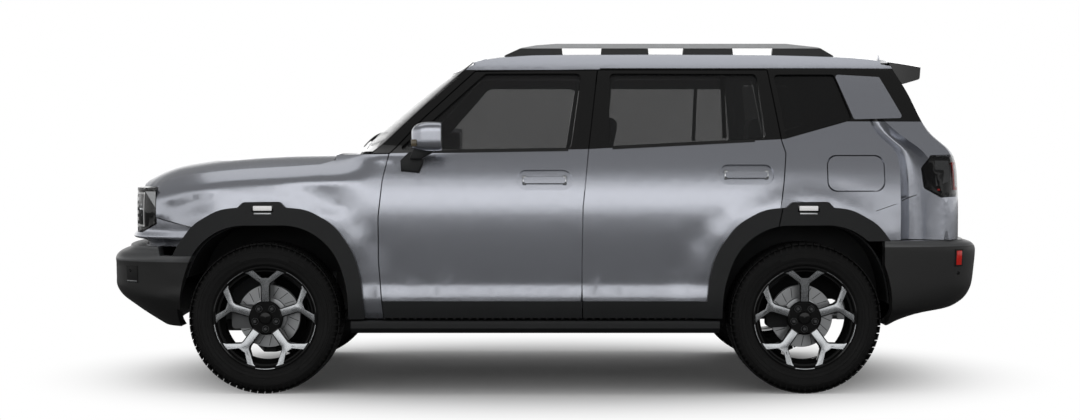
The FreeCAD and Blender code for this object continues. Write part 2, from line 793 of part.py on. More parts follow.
def roof_height(x, y):
    edge = roof_edge_y(x)
    return roof_centre(x) - ROOF_FALL * min(abs(y) / edge, 1.1) ** 2.6


ROOF_FALL = 38
roof_top = size("roof_height")
roof_centre = smooth_through([
    (front_axle - 1060, roof_top - 55), (front_axle - 1180, roof_top - 22), (front_axle - 1450, roof_top - 4),
    (-600, roof_top), (rear_axle + 60, roof_top - 7), (rear_axle - 240, roof_top - 17),
    (rear_axle - 414, roof_top - 33), (rear_axle - 550, roof_top - 50), (rear_axle - 690, roof_top - 75),
][::-1])


def roof_edge_y(x):
    return side_y(x, min(roof_centre(x) - ROOF_FALL, cant + 88)) - seat_gap


def roof_slab(above, below):
    xs = spread(rear_axle - 680, front_axle - 1000, 36)
    ys = spread(-760, 760, 33)
    face = surface([[Vector(x, y, roof_height(x, y) + above) for y in ys] for x in xs])
    return face.extrude(Vector(0, 0, -above - below))


def screen_x(y, z):
    """The windscreen's outer face."""
    centre = smooth_through([(belt - 20, front_axle - 412), (belt + 12, front_axle - 435),
                             (belt + 274, front_axle - 719), (cant + 12, front_axle - 949),
                             (cant + 90, front_axle - 1080)])(z)
    pillar = front_axle - 560 - (z - belt - 4) * 491 / (cant + 12 - belt)
    edge_y = side_y(pillar, z) - 15
    return centre - (centre - pillar - 9) * min(abs(y) / edge_y, 1.15) ** 2.4


def screen_slab(outer, inner):
    ys = spread(-880, 880, 35)
    zs = spread(belt - 20, cant + 80, 20)
    face = surface([[Vector(screen_x(y, z) - outer, y, z) for z in zs] for y in ys])
    return face.extrude(Vector(outer - inner, 0, 0))


screen_top = cant + 46
roof_rear_x = rear_axle - 425
roof_front = [(screen_x(y, screen_top + 12) - 6, y) for y in (0, 200, 400, 560)]
roof_side_xs = spread(front_axle - 1150, roof_rear_x, 10)


def roof_outline(clear):
    half = roof_front + [(x, roof_edge_y(x) + clear) for x in roof_side_xs]
    return half + [(x, -y) for x, y in half[::-1] if y != 0]


add("roof_panel", roof_slab(0, size("roof_wall")).common(plan_prism(roof_outline(0), 1500, 2000)))
roof_room = roof_slab(60, size("roof_wall") + seat_gap).common(plan_prism(roof_outline(seat_gap), 1500, 2000))

hatch_half = TAIL_LAMP_INNER_Y - 12


def hatch_outline(clear):
    low_z = flare_end_rear + 12
    points = [(hatch_half, low_z), (hatch_half, belt + 20), (hatch_half - 28, belt + 60),
              (hatch_half - 28, cant + 130)]
    half = [(y + clear, z) for y, z in points]
    half[0] = (half[0][0], low_z - clear)
    return half + [(-y, z) for y, z in half[::-1]]


hatch_wall = size("tailgate_wall")
hatch = tail_slab(0, hatch_wall).common(front_prism(hatch_outline(0), -FAR, 0))
hatch_front_x = roof_rear_x - size("hinge_gap")
hatch_cut_top = box((-FAR, hatch_front_x), (-1000, 1000), (0, roof_top - 80))
hatch_glass_outline = [(575, belt + 60, 40), (550, cant - 70, 40), (-550, cant - 70, 40),
                       (-575, belt + 60, 40)]
hatch_window = front_prism(hatch_glass_outline, -FAR, 0)
hatch_panel = hatch.common(hatch_cut_top).cut(hatch_window)
plate_recess = front_prism([(270, 905, 15), (270, 1040, 15), (-270, 1040, 15), (-270, 905, 15)], -FAR, 0)
hatch_panel = hatch_panel.cut(tail_slab(-30, 22).common(plate_recess))
add("tailgate_panel", hatch_panel)
hatch_pane = tail_slab(10, 10 + 2 * size("glass_wall"))
add("tailgate_glass", hatch_pane.common(front_prism(grown(hatch_glass_outline, -seat_gap), -FAR, 0)))
hatch_room = tail_slab(-200, hatch_wall + gap).common(front_prism(hatch_outline(gap), -FAR, 0))

# The spoiler's outline is set here, because the body side leaves room round it.
SPOILER_HALF = 670
spoiler_points = [(hatch_front_x, roof_top + 50), (hatch_front_x, roof_top - 79.5),
                  (rear_axle - 470, cant - 30),
                  (rear_axle - 558, cant - 68), (rear_axle - 640, cant - 44, 15),
                  (rear_axle - 655, roof_top + 50)]
spoiler_room = side_prism(grown(spoiler_points, gap), 300, SPOILER_HALF + gap)

body_side = side_slab(0, size("side_wall")).common(side_prism(body_side_outline, 300, FAR))
body_side = body_side.common(tail_solid)
fuel_flap_outline = [(rear_axle - 109, belt - 10, 50), (rear_axle - 406, belt - 10, 50),
                     (rear_axle - 406, 1056, 50), (rear_axle - 109, 1056, 50)]
FLAP_WALL = 12
flap_room = side_slab(-60, FLAP_WALL + 30).common(side_prism(grown(fuel_flap_outline, gap / 2), 300, FAR))
side_panel_room = side_slab(-60, 14).common(side_prism(grown(side_panel_outline, seat_gap), 300, FAR))
lamp_room = side_prism(grown(lamp_outline, seat_gap), TAIL_LAMP_INNER_Y - seat_gap, FAR)
for cutter in (
    door_room(front_door_outline, front_door_slants), door_room(rear_door_outline, rear_door_slants),
    side_prism(front_aperture, 300, FAR), side_prism(rear_aperture, 300, FAR),
    side_prism(grown(flare_outer(rear_axle, 80, -107), seat_gap), 400, FAR), rear_arch_zone, rear_wheel_room,
    front_wheel_room, side_prism(quarter_glass_outline, 300, FAR), fender_room, roof_room, hatch_room,
    flap_room, side_panel_room, lamp_room, spoiler_room,
    side_prism(grown(flare_outer(front_axle, 97, -92), seat_gap), 400, FAR), front_arch_zone,
):
    body_side = body_side.cut(cutter)
body_side = solids_of(body_side, 500000)
add_pair("body_side", body_side)
add("quarter_glass", both_sides(pane(quarter_glass_outline)))
add("side_panels", both_sides(side_slab(-2, 14 - seat_gap).common(side_prism(side_panel_outline, 300, FAR))))
add("fuel_flap", side_slab(0, FLAP_WALL).common(side_prism(grown(fuel_flap_outline, -gap / 2), 300, FAR)))
tail_lamp = side_slab(2, 300).common(side_prism(lamp_outline, TAIL_LAMP_INNER_Y, FAR)).common(tail_solid)
add("tail_lamps", both_sides(tail_lamp))

# The flares that stay on the body: the whole front arch and the rear half of the rear arch.
front_flare = flare_wall.common(front_flare_zone).cut(front_arch_zone)
front_flare = front_flare.cut(box((front_axle, FAR), (0, FAR), (0, flare_end_front)))
rear_flare = flare_wall.common(rear_flare_zone).cut(rear_arch_zone)
rear_flare = rear_flare.cut(box((-FAR, rear_axle), (0, FAR), (0, flare_end_rear)))
rear_flare = rear_flare.cut(slanted_prism(grown(rear_door_outline, gap), rear_door_slants))
rear_flare = rear_flare.cut(box((rear_axle + 200, FAR), (0, FAR), (0, FAR)))
add("arch_flares", Part.makeCompound(both_sides(front_flare).Solids + both_sides(rear_flare).Solids))

# Liners close each wheel house over the tyre and towards the middle of the car.
LINER_WALL = 8


def liner(axle, inner_y, low, hub_hole):
    outer_y = size("flare_half_width") - 111
    arch = grown(arch_inner(axle), -seat_gap)
    hollow = side_prism(grown(arch, -LINER_WALL), inner_y + LINER_WALL, outer_y + 1)
    shell = side_prism(arch, inner_y, outer_y).cut(hollow)
    shell = shell.cut(box((-FAR, FAR), (0, FAR), (0, low)))
    return shell.cut(across(hub_hole, 100, axle, inner_y, axle_height))


liners = [liner(front_axle, 402, 604, 60), liner(rear_axle, 612, 470, 80)]
add("wheel_liners", Part.makeCompound(liners + [mirrored(shell) for shell in liners]))

# The nose: bumper, painted apron, lamps and grille share one rounded face.
def nose_volume(profile, wider, depth):
    """All that lies behind the nose's face. The profile is its reach ahead over the height."""
    half = half_width + 40
    ys = [half * math.sin(math.pi / 2 * t) for t in spread(-1, 1, 49)]
    zs = spread(300, 1130, 30)
    rows = []
    for y in ys:
        row = []
        for z in zs:
            offset_y = max(abs(y) + half_width - side_profile(z) - wider, 0)
            row.append(Vector(front_face_x + profile(z) - corner_back(offset_y) - depth, y, z))
        rows.append(row)
    return surface(rows).extrude(Vector(-900, 0, 0))


def nose_shell(profile, wider, wall, x, y, z):
    """A wall behind the nose's face, within a box."""
    outer = nose_volume(profile, wider, 0).common(box(x, y, z))
    zone = box((x[0] - 50, x[1]), (y[0] - 50, y[1] + 50), (z[0] - 20, z[1] + 20))
    return outer.cut(nose_volume(profile, -50, wall).common(zone))


bumper_top = size("bumper_top_height")
bumper_profile = smooth_through([(300, -190), (340, -140), (358, -111), (433, -5), (528, 100), (560, 112.5),
                                 (bumper_top - 58, 112.5), (bumper_top, 28), (1200, 28)])
apron_profile = smooth_through([(300, -60), (745, -60), (795, -48), (806, 24), (832, 2), (1200, 0)])
flat_profile = smooth_through([(300, 0), (1200, 0)])
bumper_zone = side_prism([(front_axle + 300, 342), (front_axle + 425, 342), (half_length + 10, 342),
                          (half_length + 10, bumper_top),
                          (front_axle + 560, bumper_top), (front_axle + 540, flare_end_front - seat_gap),
                          (front_axle + 300, flare_end_front - seat_gap)], -1000, 1000)
both_front_rooms = front_wheel_room.fuse(mirrored(front_wheel_room))
both_front_arches = front_arch_zone.fuse(mirrored(front_arch_zone))
nose_x = (front_axle + 290, half_length + 5)
bumper = nose_shell(bumper_profile, 22, 70, nose_x, (-1000, 1000), (342, bumper_top)).common(bumper_zone)
bumper = bumper.cut(both_front_rooms).cut(both_front_arches)
tow_radius = size("tow_thread_radius")
screw_radius = size("plate_screw_radius")
TOW_Y = 420
TOW_Z = 620
PLATE_SPACING = 210


def along_car(radius, x_from, x_to, y, z):
    return Part.makeCylinder(radius, x_to - x_from, Vector(x_from, y, z), Vector(1, 0, 0))


intake = side_prism([(half_length - 22, 450), (half_length - 22, 545), (half_length + 60, 552),
                     (half_length + 60, 440)], -430, 430)
bumper = bumper.cut(intake)
for side in (1, -1):
    pocket = box((half_length - 115, half_length + 50), (side * 700 - 95, side * 700 + 95), (585, 655))
    skin = nose_volume(bumper_profile, -3, 14).common(box((0, FAR), (-1000, 1000), (560, 680)))
    bumper = bumper.cut(pocket.common(skin))
bumper = bumper.cut(along_car(tow_radius, half_length - 80, half_length + 10, -TOW_Y, TOW_Z))
for side in (1, -1):
    bumper = bumper.cut(along_car(screw_radius, half_length - 40, half_length + 10, side * PLATE_SPACING / 2,
                                  TOW_Z))
add("front_bumper", bumper)
apron_zone = side_prism([(half_length, bumper_top + seat_gap), (half_length, 836), (front_axle + 664, 836),
                         (front_axle + 571, 882), (front_axle + 571, 913), (front_axle + 340, 858),
                         (front_axle + 340, bumper_top + seat_gap)], -1000, 1000)
apron = nose_shell(apron_profile, 0, 70, nose_x, (-1000, 1000),
                   (bumper_top + seat_gap, 920)).common(apron_zone)
both_front_flares = side_prism(grown(flare_outer(front_axle, 97, -92), seat_gap), 400, FAR)
apron = apron.cut(both_front_flares).cut(mirrored(both_front_flares)).cut(both_front_rooms)
add("front_apron", apron)
LAMP_INNER_Y = 560
lamp_zone = side_prism([(front_axle + 577, lamp_top, 10), (half_length, lamp_top), (half_length, 838),
                        (front_axle + 664, 838, 10),
                        (front_axle + 577, 886, 10)], LAMP_INNER_Y, 900)
headlamp = nose_volume(flat_profile, -2, 0).common(lamp_zone)
headlamp = headlamp.cut(box((0, front_face_x - 250), (0, 800), (0, FAR)))
add("headlamps", both_sides(headlamp))
grille_zone = box((0, FAR), (-LAMP_INNER_Y + 2, LAMP_INNER_Y - 2), (838, lamp_top))
behind = box((0, front_face_x - 110), (-600, 600), (0, FAR))
grille = nose_volume(flat_profile, 0, 40).common(grille_zone).cut(behind)
grille_front = nose_volume(flat_profile, 0, 0).common(grille_zone).cut(behind)
for z in spread(838, lamp_top - 16, 7):
    bar = box((0, FAR), (-LAMP_INNER_Y + 2, LAMP_INNER_Y - 2), (z, z + 16))
    grille = grille.fuse(grille_front.common(bar))
add("grille", grille.removeSplitter())

# The windscreen, the scuttle under it and the bulkhead.
screen_zone = [(side_y(front_axle - 560, belt + 12) - 18, belt + 12),
               (side_y(front_axle - 800, belt + 230) - 18, belt + 230),
               (side_y(front_axle - 1051, cant + 12) - 18, cant + 12),
               (side_y(front_axle - 1100, screen_top) - 22, screen_top)]
screen_zone = screen_zone + [(-y, z) for y, z in screen_zone[::-1]]
windscreen = screen_slab(0, 1.5 * size("glass_wall")).common(front_prism(screen_zone, 0, FAR))
windscreen = windscreen.cut(side_slab(-40, 400).common(side_prism(body_side_outline, 300, FAR)))
windscreen = windscreen.cut(mirrored(side_slab(-40, 400).common(side_prism(body_side_outline, 300, FAR))))
add("windscreen", solids_of(windscreen, 100000))
scuttle = box((front_axle - 560, hood_rear_x - size("hinge_gap")), (-690, 690), (belt - 100, belt - 12))
lip = screen_slab(0, 40).common(box((0, FAR), (-640, 640), (belt - 15, belt + 12 - seat_gap)))
bulkhead = box((front_axle - 460, front_axle - 440), (-690, 690), (size("floor_height") + 80, belt - 90))
add("bulkhead", scuttle.fuse(lip).fuse(bulkhead))

# The tail's bumper.
rear_bumper_profile = smooth_through([(300, -520), (363, -420), (408, -290), (443, -127), (509, -42),
                                      (566, -18),
                                      (634, -9), (746, 0), (779, -18), (flare_end_rear + 6, -79), (900, -79)])


def rear_volume(wider, depth):
    half = half_width + 40
    ys = [half * math.sin(math.pi / 2 * t) for t in spread(-1, 1, 49)]
    zs = spread(300, 860, 28)
    corner = smooth_through([(0, 0), (400, 16), (700, 60), (780, 101), (850, 175), (900, 290), (935, 450),
                             (960, 700), (990, 900)])
    rows = []
    for y in ys:
        rows.append([Vector(-half_length - rear_bumper_profile(z) + corner(max(abs(y) - wider, 0)) + depth, y,
                            z)
                     for z in zs])
    return surface(rows).extrude(Vector(900, 0, 0))


rear_zone = box((-FAR, rear_axle - 400), (-1000, 1000), (345, flare_end_rear - seat_gap))
rear_inside = box((-FAR, rear_axle - 300), (-1100, 1100), (300, 840))
rear_bumper = rear_volume(18, 0).common(rear_zone).cut(rear_volume(-50, 70).common(rear_inside))
both_rear_arches = rear_arch_zone.fuse(mirrored(rear_arch_zone))
both_rear_rooms = rear_wheel_room.fuse(mirrored(rear_wheel_room))
rear_bumper = rear_bumper.cut(both_rear_arches).cut(both_rear_rooms)
rear_bumper = rear_bumper.cut(along_car(tow_radius, -half_length - 10, -half_length + 75, TOW_Y, TOW_Z))
for side in (1, -1):
    screw = along_car(screw_radius, -half_length - 10, -half_length + 40, side * PLATE_SPACING / 2,
                      TOW_Z + 60)
    rear_bumper = rear_bumper.cut(screw)
add("rear_bumper", rear_bumper)

# Side steps and roof rails.
step_top = sill - 13
step_low = step_top - size("step_height")
step_out = size("flare_half_width") - 5
step_in = step_out - size("step_width")
step_points = [(step_in, sill - 4 - seat_gap), (step_in + 48, sill - 4 - seat_gap), (step_in + 55, step_top),
               (step_out, step_top, 12), (step_out, step_low + 25, 10), (step_out - 30, step_low, 10),
               (step_in, step_low)]
step = run("side_step", "front", step_points, rear_axle + 452, front_axle - 455)
keep("side_steps", left_and_right("side_steps", step))
rail_y = 560
rail_top = roof_top + 25
rail_low = rail_top - 22
rail_outline = [(front_axle - 1240, roof_top - 90), (front_axle - 1240, roof_top - 38),
                (front_axle - 1330, rail_low, 60),
                (front_axle - 1410, rail_top - 8, 60), (front_axle - 1520, rail_top, 100),
                (rear_axle + 60, rail_top, 200), (rear_axle - 120, rail_top - 20, 60),
                (rear_axle - 205, roof_top - 45), (rear_axle - 205, roof_top - 90)]
rail = side_prism(rail_outline, rail_y - size("rail_width") / 2, rail_y + size("rail_width") / 2)
for gap_front, gap_rear in ((front_axle - 1560, front_axle - 1750), (front_axle - 2022, front_axle - 2190),
                            (front_axle - 2475, front_axle - 2670)):
    rail = rail.cut(side_prism([(gap_front + 12, rail_low), (gap_rear - 12, rail_low),
                                (gap_rear, roof_top - 90),
                                (gap_front, roof_top - 90)], 0, 1000))
rail = rail.cut(roof_slab(0, 200))
rail = rail.cut(roof_slab(seat_gap, 20))
add("roof_rails", both_sides(solids_of(rail, 50000)))

# Floor, engine, axles and what shows from below.
floor_low = size("floor_height")
floor_top = floor_low + 50
cargo_low = 570
cargo_front = rear_axle + 380
floor_rear = rear_axle - 740
SILL_TUCK = 60
floor_half = half_width - SILL_TUCK - size("side_wall") - 6
floor_points = [(front_axle - 438, floor_low), (front_axle - 438, floor_top), (cargo_front + 50, floor_top),
                (cargo_front, cargo_low + 50), (floor_rear, cargo_low + 50), (floor_rear, cargo_low),
                (cargo_front - 50, cargo_low), (cargo_front, floor_low)]
floor_slab = run("floor_slab", "side", floor_points, -floor_half, floor_half)
front_room = rod("front_wheel_room", "y", wheel_room_radius, (front_axle, 402, axle_height), 500)
rear_arch = run("rear_arch_room", "side", arch_inner(rear_axle), 605, 905)
rooms = fused("wheel_rooms", front_room, rear_arch)
keep("floor_pan", carved("floor_pan", floor_slab, rooms, reflection("other_wheel_rooms", rooms)))

keep("engine", block("engine", (front_axle - 300, front_axle + 330), (-330, 330),
                     (floor_low + seat_gap, 1030)))

kingpin_y = wheel_y - 82
ball_half = 180
arm_low = axle_height - ball_half - 15
arm_top = arm_low + 24
low_arm = run("low_arm", "plan", [
    (front_axle + 150, 325), (front_axle - 200, 325), (front_axle - 32, kingpin_y + 22, 20),
    (front_axle + 32, kingpin_y + 22, 20)], arm_low, arm_top)
high_arm = run("high_arm", "plan", [
    (front_axle + 70, 380), (front_axle - 110, 380), (front_axle - 30, kingpin_y + 20, 15),
    (front_axle + 30, kingpin_y + 20, 15)], axle_height + ball_half, axle_height + ball_half + 22)
arm_mount = block("arm_mount", (front_axle - 230, front_axle + 180), (315, 355), (arm_low, floor_low))
tower = block("spring_tower", (front_axle - 140, front_axle + 110), (335, 395), (floor_low - 50, 900))
corner_parts = fused("front_corner", low_arm, high_arm, arm_mount, tower)
cradle = block("cradle", (front_axle - 380, front_axle + 330), (-340, 340), (floor_low - 60, floor_low))
tail_beam = block("cradle_tail", (front_axle - 480, front_axle - 300), (-340, 340),
                  (floor_low - 40, floor_low - seat_gap))
keep("front_suspension", fused("front_suspension", cradle, tail_beam, corner_parts,
                               reflection("other_corner", corner_parts)))

stub_radius = size("axle_stub_radius")
hub_inner_y = wheel_y - 52
STUB_LENGTH = 110
BRAKE_CLEAR = 6
SHIELD_RADIUS = size("disc_diameter") / 2 - 1


def brake(name, axle, behind, half_high, reach, over):
    """A caliper that straddles the disc, the bridge that carries it, and the dust shield."""
    outline = [(axle + 75, axle_height - half_high, 10), (axle + reach, axle_height - half_high - 5, 20),
               (axle + reach, axle_height + half_high + 5, 20), (axle + 75, axle_height + half_high, 10)]
    disc_thickness = size("disc_thickness")
    jaw = run(name + "_jaw", "side", outline, hub_inner_y - 42, hub_inner_y + disc_thickness + over)
    slot = rod(name + "_slot", "y", size("disc_diameter") / 2 + BRAKE_CLEAR,
               (axle, hub_inner_y - BRAKE_CLEAR, axle_height), disc_thickness + 2 * BRAKE_CLEAR)
    bridge = block(name + "_bridge", (axle + 30, axle + 100), (hub_inner_y - 40, hub_inner_y - behind),
                   (axle_height - half_high + 20, axle_height + half_high - 20))
    shield = rod(name + "_shield", "y", SHIELD_RADIUS, (axle, hub_inner_y - behind - 4.5, axle_height), 5)
    return fused(name, carved(name + "_caliper", jaw, slot), bridge, shield)


post_low = arm_top + seat_gap
post = rod("kingpin_post", "z", 28, (front_axle, kingpin_y, post_low),
           axle_height + ball_half - seat_gap - post_low)
carrier = rod("hub_carrier", "y", 60, (front_axle, kingpin_y - 22, axle_height),
              hub_inner_y - 12 - kingpin_y + 22)
front_stub = rod("front_stub", "y", stub_radius, (front_axle, hub_inner_y - 22, axle_height), STUB_LENGTH)
knuckle = fused("knuckle_left", post, carrier, front_stub, brake("front_brake", front_axle, 14, 60, 190, 30))
keep("knuckle_left", knuckle)
keep("knuckle_right", reflection("knuckle_right", knuckle))

beam = rod("axle_beam", "y", 38, (rear_axle, -hub_inner_y + 14, axle_height), 2 * (hub_inner_y - 14))
differential = primitive("Sphere", "differential", (rear_axle, 0, axle_height), Radius=125)
rear_stub = rod("rear_stub", "y", stub_radius, (rear_axle, hub_inner_y - 22, axle_height), STUB_LENGTH)
flange = rod("axle_flange", "y", 62, (rear_axle, hub_inner_y - 45, axle_height), 30)
spring = rod("spring", "z", 60, (rear_axle, 440, axle_height), cargo_low - seat_gap - axle_height)
end_parts = fused("axle_end", rear_stub, flange, spring, brake("rear_brake", rear_axle, 18, 55, 185, 28))
keep("rear_axle", fused("rear_axle", beam, differential, end_parts, reflection("other_axle_end", end_parts)))

# Wheels: rim with five forked spokes, hub and brake disc in one, and the tyre round it.
rim_radius = size("rim_diameter") / 2
bead_radius = rim_radius - 16
half_rim = size("rim_width") / 2
spoke_face = half_rim - 8
BARREL_WALL = 12
SPOKES = 5


def wheel_rim(name):
    """A rim about its own centre, its face towards +Y."""
    body = doc.addObject("PartDesign::Body", name)
    stub_fit = stub_radius + 0.05
    hub_radius = size("hub_diameter") / 2
    disc_radius = size("disc_diameter") / 2
    hub_in = hub_inner_y - wheel_y
    disc_out = hub_in + size("disc_thickness")
    hub_end = spoke_face + 4
    turned(body, name + "_hub", [
        (stub_fit, hub_in), (disc_radius, hub_in), (disc_radius, disc_out), (hub_radius, disc_out),
        (hub_radius, hub_end), (0, hub_end), (0, hub_in + 100), (stub_fit, hub_in + 100)])
    stem = 24
    fork = bead_radius - BARREL_WALL + 4
    outline = [(-stem, 50), (stem, 50), (stem - 4, 130), (118, fork * 0.885), (84, fork * 0.945), (0, 172),
               (-84, fork * 0.945), (-118, fork * 0.885), (4 - stem, 130)]
    sketch = body_sketch(body, name + "_spoke_outline", "XZ_Plane", outline)
    sketch.AttachmentOffset = Placement(Vector(0, 0, -spoke_face), Rotation())
    sketch.setExpression("AttachmentOffset.Base.z", (-spoke_face).formula)
    spoke = body.newObject("PartDesign::Pad", name + "_spoke")
    spoke.Profile = sketch
    spoke.Length = 26
    body.Tip = spoke
    doc.recompute()
    pattern = body.newObject("PartDesign::PolarPattern", name + "_spokes")
    pattern.Originals = [spoke]
    pattern.Axis = ([feature for feature in body.Origin.OriginFeatures if feature.Role == "Y_Axis"][0], [""])
    pattern.Angle = 360
    pattern.Occurrences = SPOKES
    body.Tip = pattern
    doc.recompute()
    turned(body, name + "_barrel", [
        (bead_radius - BARREL_WALL, -half_rim), (rim_radius, -half_rim), (rim_radius, 7 - half_rim),
        (bead_radius, 12 - half_rim), (bead_radius, half_rim - 12), (rim_radius, half_rim - 7),
        (rim_radius, half_rim), (bead_radius - BARREL_WALL, half_rim)])
    return body


def wheel_tyre(name):
    """A tyre about its own centre, clear of the rim by a hair."""
    half = size("tyre_width") / 2
    outer = size("tyre_diameter") / 2
    half_section = [(bead_radius + 0.3, half_rim - 13), (rim_radius + 0.8, half_rim - 8),
                    (rim_radius + 0.8, half_rim + 4),
                    (rim_radius + 30, half - 4), (rim_radius + 82, half), (outer, half - 30)]
    body = doc.addObject("PartDesign::Body", name)
    turned(body, name + "_carcass", half_section + [(radius, -along) for radius, along in half_section[::-1]])
    return body


for axle_name, axle_x in (("front", front_axle), ("rear", rear_axle)):
    for kind, maker in (("rim", wheel_rim), ("tyre", wheel_tyre)):
        stem_name = "%s_%s" % (kind, axle_name)
        left = maker(stem_name + "_left")
        put(left, (axle_x, wheel_y, axle_height))
        keep(stem_name + "_left", left)
        keep(stem_name + "_right", reflection(stem_name + "_right", left))

# The cabin: seats, dashboard and steering wheel.
seat_foot = floor_top + seat_gap


def seat(name, x, y, width):
    half = width / 2
    foot = block(name + "_foot", (x - 260, x + 230), (y - half + 50, y + half - 50),
                 (seat_foot, floor_top + 240))
    cushion = run(name + "_cushion", "side", [
        (x - 300, floor_top + 170, 40), (x + 280, floor_top + 200, 60), (x + 290, floor_top + 330, 50),
        (x - 300, floor_top + 290, 30)], y - half, y + half)
    rest = run(name + "_rest", "side", [
        (x - 290, floor_top + 200, 30), (x - 170, floor_top + 250, 40), (x - 300, floor_top + 880, 40),
        (x - 400, floor_top + 860, 40)], y - half, y + half)
    head = run(name + "_head", "side", [
        (x - 330, floor_top + 870, 20), (x - 400, floor_top + 870, 20), (x - 440, floor_top + 1060, 40),
        (x - 340, floor_top + 1070, 40)], y - 130, y + 130)
    post = block(name + "_post", (x - 375, x - 345), (y - 60, y + 60), (floor_top + 800, floor_top + 900))
    return fused(name, foot, cushion, rest, post, head)


seat_y = 375
keep("front_seats", left_and_right("front_seats", seat("driver_seat", 30, seat_y, size("seat_width"))))
under_floor = [(front_axle - 438, floor_top + seat_gap), (cargo_front + 50 + seat_gap, floor_top + seat_gap),
               (cargo_front + seat_gap, cargo_low + 50 + seat_gap), (floor_rear, cargo_low + 50 + seat_gap),
               (floor_rear, 0), (front_axle - 438, 0)]
bench = seat("bench", -830, 0, 1190)
keep("rear_seat", carved("rear_seat", bench,
                         run("bench_floor_room", "side", under_floor, -floor_half, floor_half)))

dash_front = front_axle - 465
DASH_HALF = 660
dash = run("dash", "side", [
    (dash_front, 820, 30), (dash_front, belt - 110), (dash_front - 60, belt - 104),
    (dash_front - 330, belt - 120, 60), (dash_front - 350, 980, 50), (dash_front - 220, 820, 40)], -DASH_HALF, DASH_HALF)
dash_foot = block("dash_foot", (dash_front - 60, dash_front), (-DASH_HALF, DASH_HALF), (seat_foot, 830))
tilt = math.radians(25)
lean = Rotation(Vector(0, 0, 1), Vector(-math.cos(tilt), 0, math.sin(tilt)))
SPINDLE_RADIUS = 10
grip = size("steering_wheel_diameter") / 2


def on_column(along):
    """A place on the steering column's axis, from the end of its cowl."""
    return (dash_front - 375 - along * math.cos(tilt), seat_y, 1035 + along * math.sin(tilt))


cowl = primitive("Cylinder", "column_cowl", on_column(-160), lean, Radius=32, Height=160)
spindle = primitive("Cylinder", "spindle", on_column(-5), lean, Radius=SPINDLE_RADIUS, Height=38)
keep("dashboard", fused("dashboard", dash, dash_foot, cowl, spindle))
hoop = primitive("Torus", "hoop", on_column(25), lean, Radius1=grip - 15, Radius2=15)
boss = primitive("Cylinder", "boss", on_column(0.5), lean, Radius=55, Height=50)
spindle_hole = primitive("Cylinder", "spindle_hole", on_column(0), lean, Radius=SPINDLE_RADIUS + 0.05,
                         Height=40)
arms = []
for angle in (90, 270, 180):
    turn = lean.multiply(Rotation(Vector(0, 0, 1), angle))
    corner = turn.multVec(Vector(40, -22, -7))
    middle = on_column(25)
    place = tuple(along + offset for along, offset in zip(middle, corner))
    arms.append(primitive("Box", "wheel_arm", place, turn, Length=grip - 50, Width=44, Height=14))
bored_boss = carved("bored_boss", boss, spindle_hole)
keep("steering_wheel", fused("steering_wheel", hoop, bored_boss, *arms))

# Exhaust and spoiler.
pipe_radius = size("exhaust_pipe_diameter") / 2
PIPE_Y = -250
pipe_z = floor_low - pipe_radius - seat_gap
pipe = rod("pipe", "x", pipe_radius, (rear_axle - 400, PIPE_Y, pipe_z), 2300)
silencer = block("silencer", (rear_axle - 690, rear_axle - 420), (-420, -120),
                 (cargo_low - 130, cargo_low - 20))
riser = block("riser", (rear_axle - 450, rear_axle - 400 + pipe_radius),
              (PIPE_Y - pipe_radius, PIPE_Y + pipe_radius),
              (pipe_z - pipe_radius, cargo_low - 60))
hanger = block("hanger", (rear_axle - 560, rear_axle - 540), (PIPE_Y - 30, PIPE_Y - 10),
               (cargo_low - 60, cargo_low - seat_gap))
keep("exhaust", fused("exhaust", pipe, riser, silencer, hanger))
spoiler = side_prism(spoiler_points, -SPOILER_HALF, SPOILER_HALF).common(roof_slab(0, 200))
spoiler = spoiler.cut(tail_slab(-seat_gap, 2500))
add("spoiler", solids_of(spoiler, 100000))

doc.recompute()
failed = [o.Label for o in doc.Objects if {"Invalid", "Error"} & set(o.State)]
for name, piece in pieces.items():
    shape = piece.Shape
    if shape.isNull() or not shape.isValid() or not shape.Solids:
        failed.append(name)
    low, high = shape.BoundBox, shape.BoundBox
    print("%-26s %d %8.2f  x %6.0f %6.0f  y %6.0f %6.0f  z %5.0f %5.0f" % (
        name, len(shape.Solids), shape.Volume / 1e6, low.XMin, high.XMax, low.YMin, high.YMax, low.ZMin,
        high.ZMax))
if failed:
    raise RuntimeError("not valid: " + ", ".join(failed))

os.makedirs("parts", exist_ok=True)
for name, piece in pieces.items():
    piece.Shape.exportStep("parts/%s.step" % name)
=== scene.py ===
# %% [markdown]
# # A boxy off-road family car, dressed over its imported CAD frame
# The CAD model already holds the true shape of the body, doors, glass and running gear. This lesson
# adds what a maker's eye looks for next: paint, glass and plastics, cut tyres, cast wheels, lamps,
# handles, seals and a trimmed cabin. Every length is in metres: +X forward, +Y to the left, +Z up.

# %% Load the frame
import math
import fnmatch

import bpy
import bmesh
from mathutils import Matrix, Vector


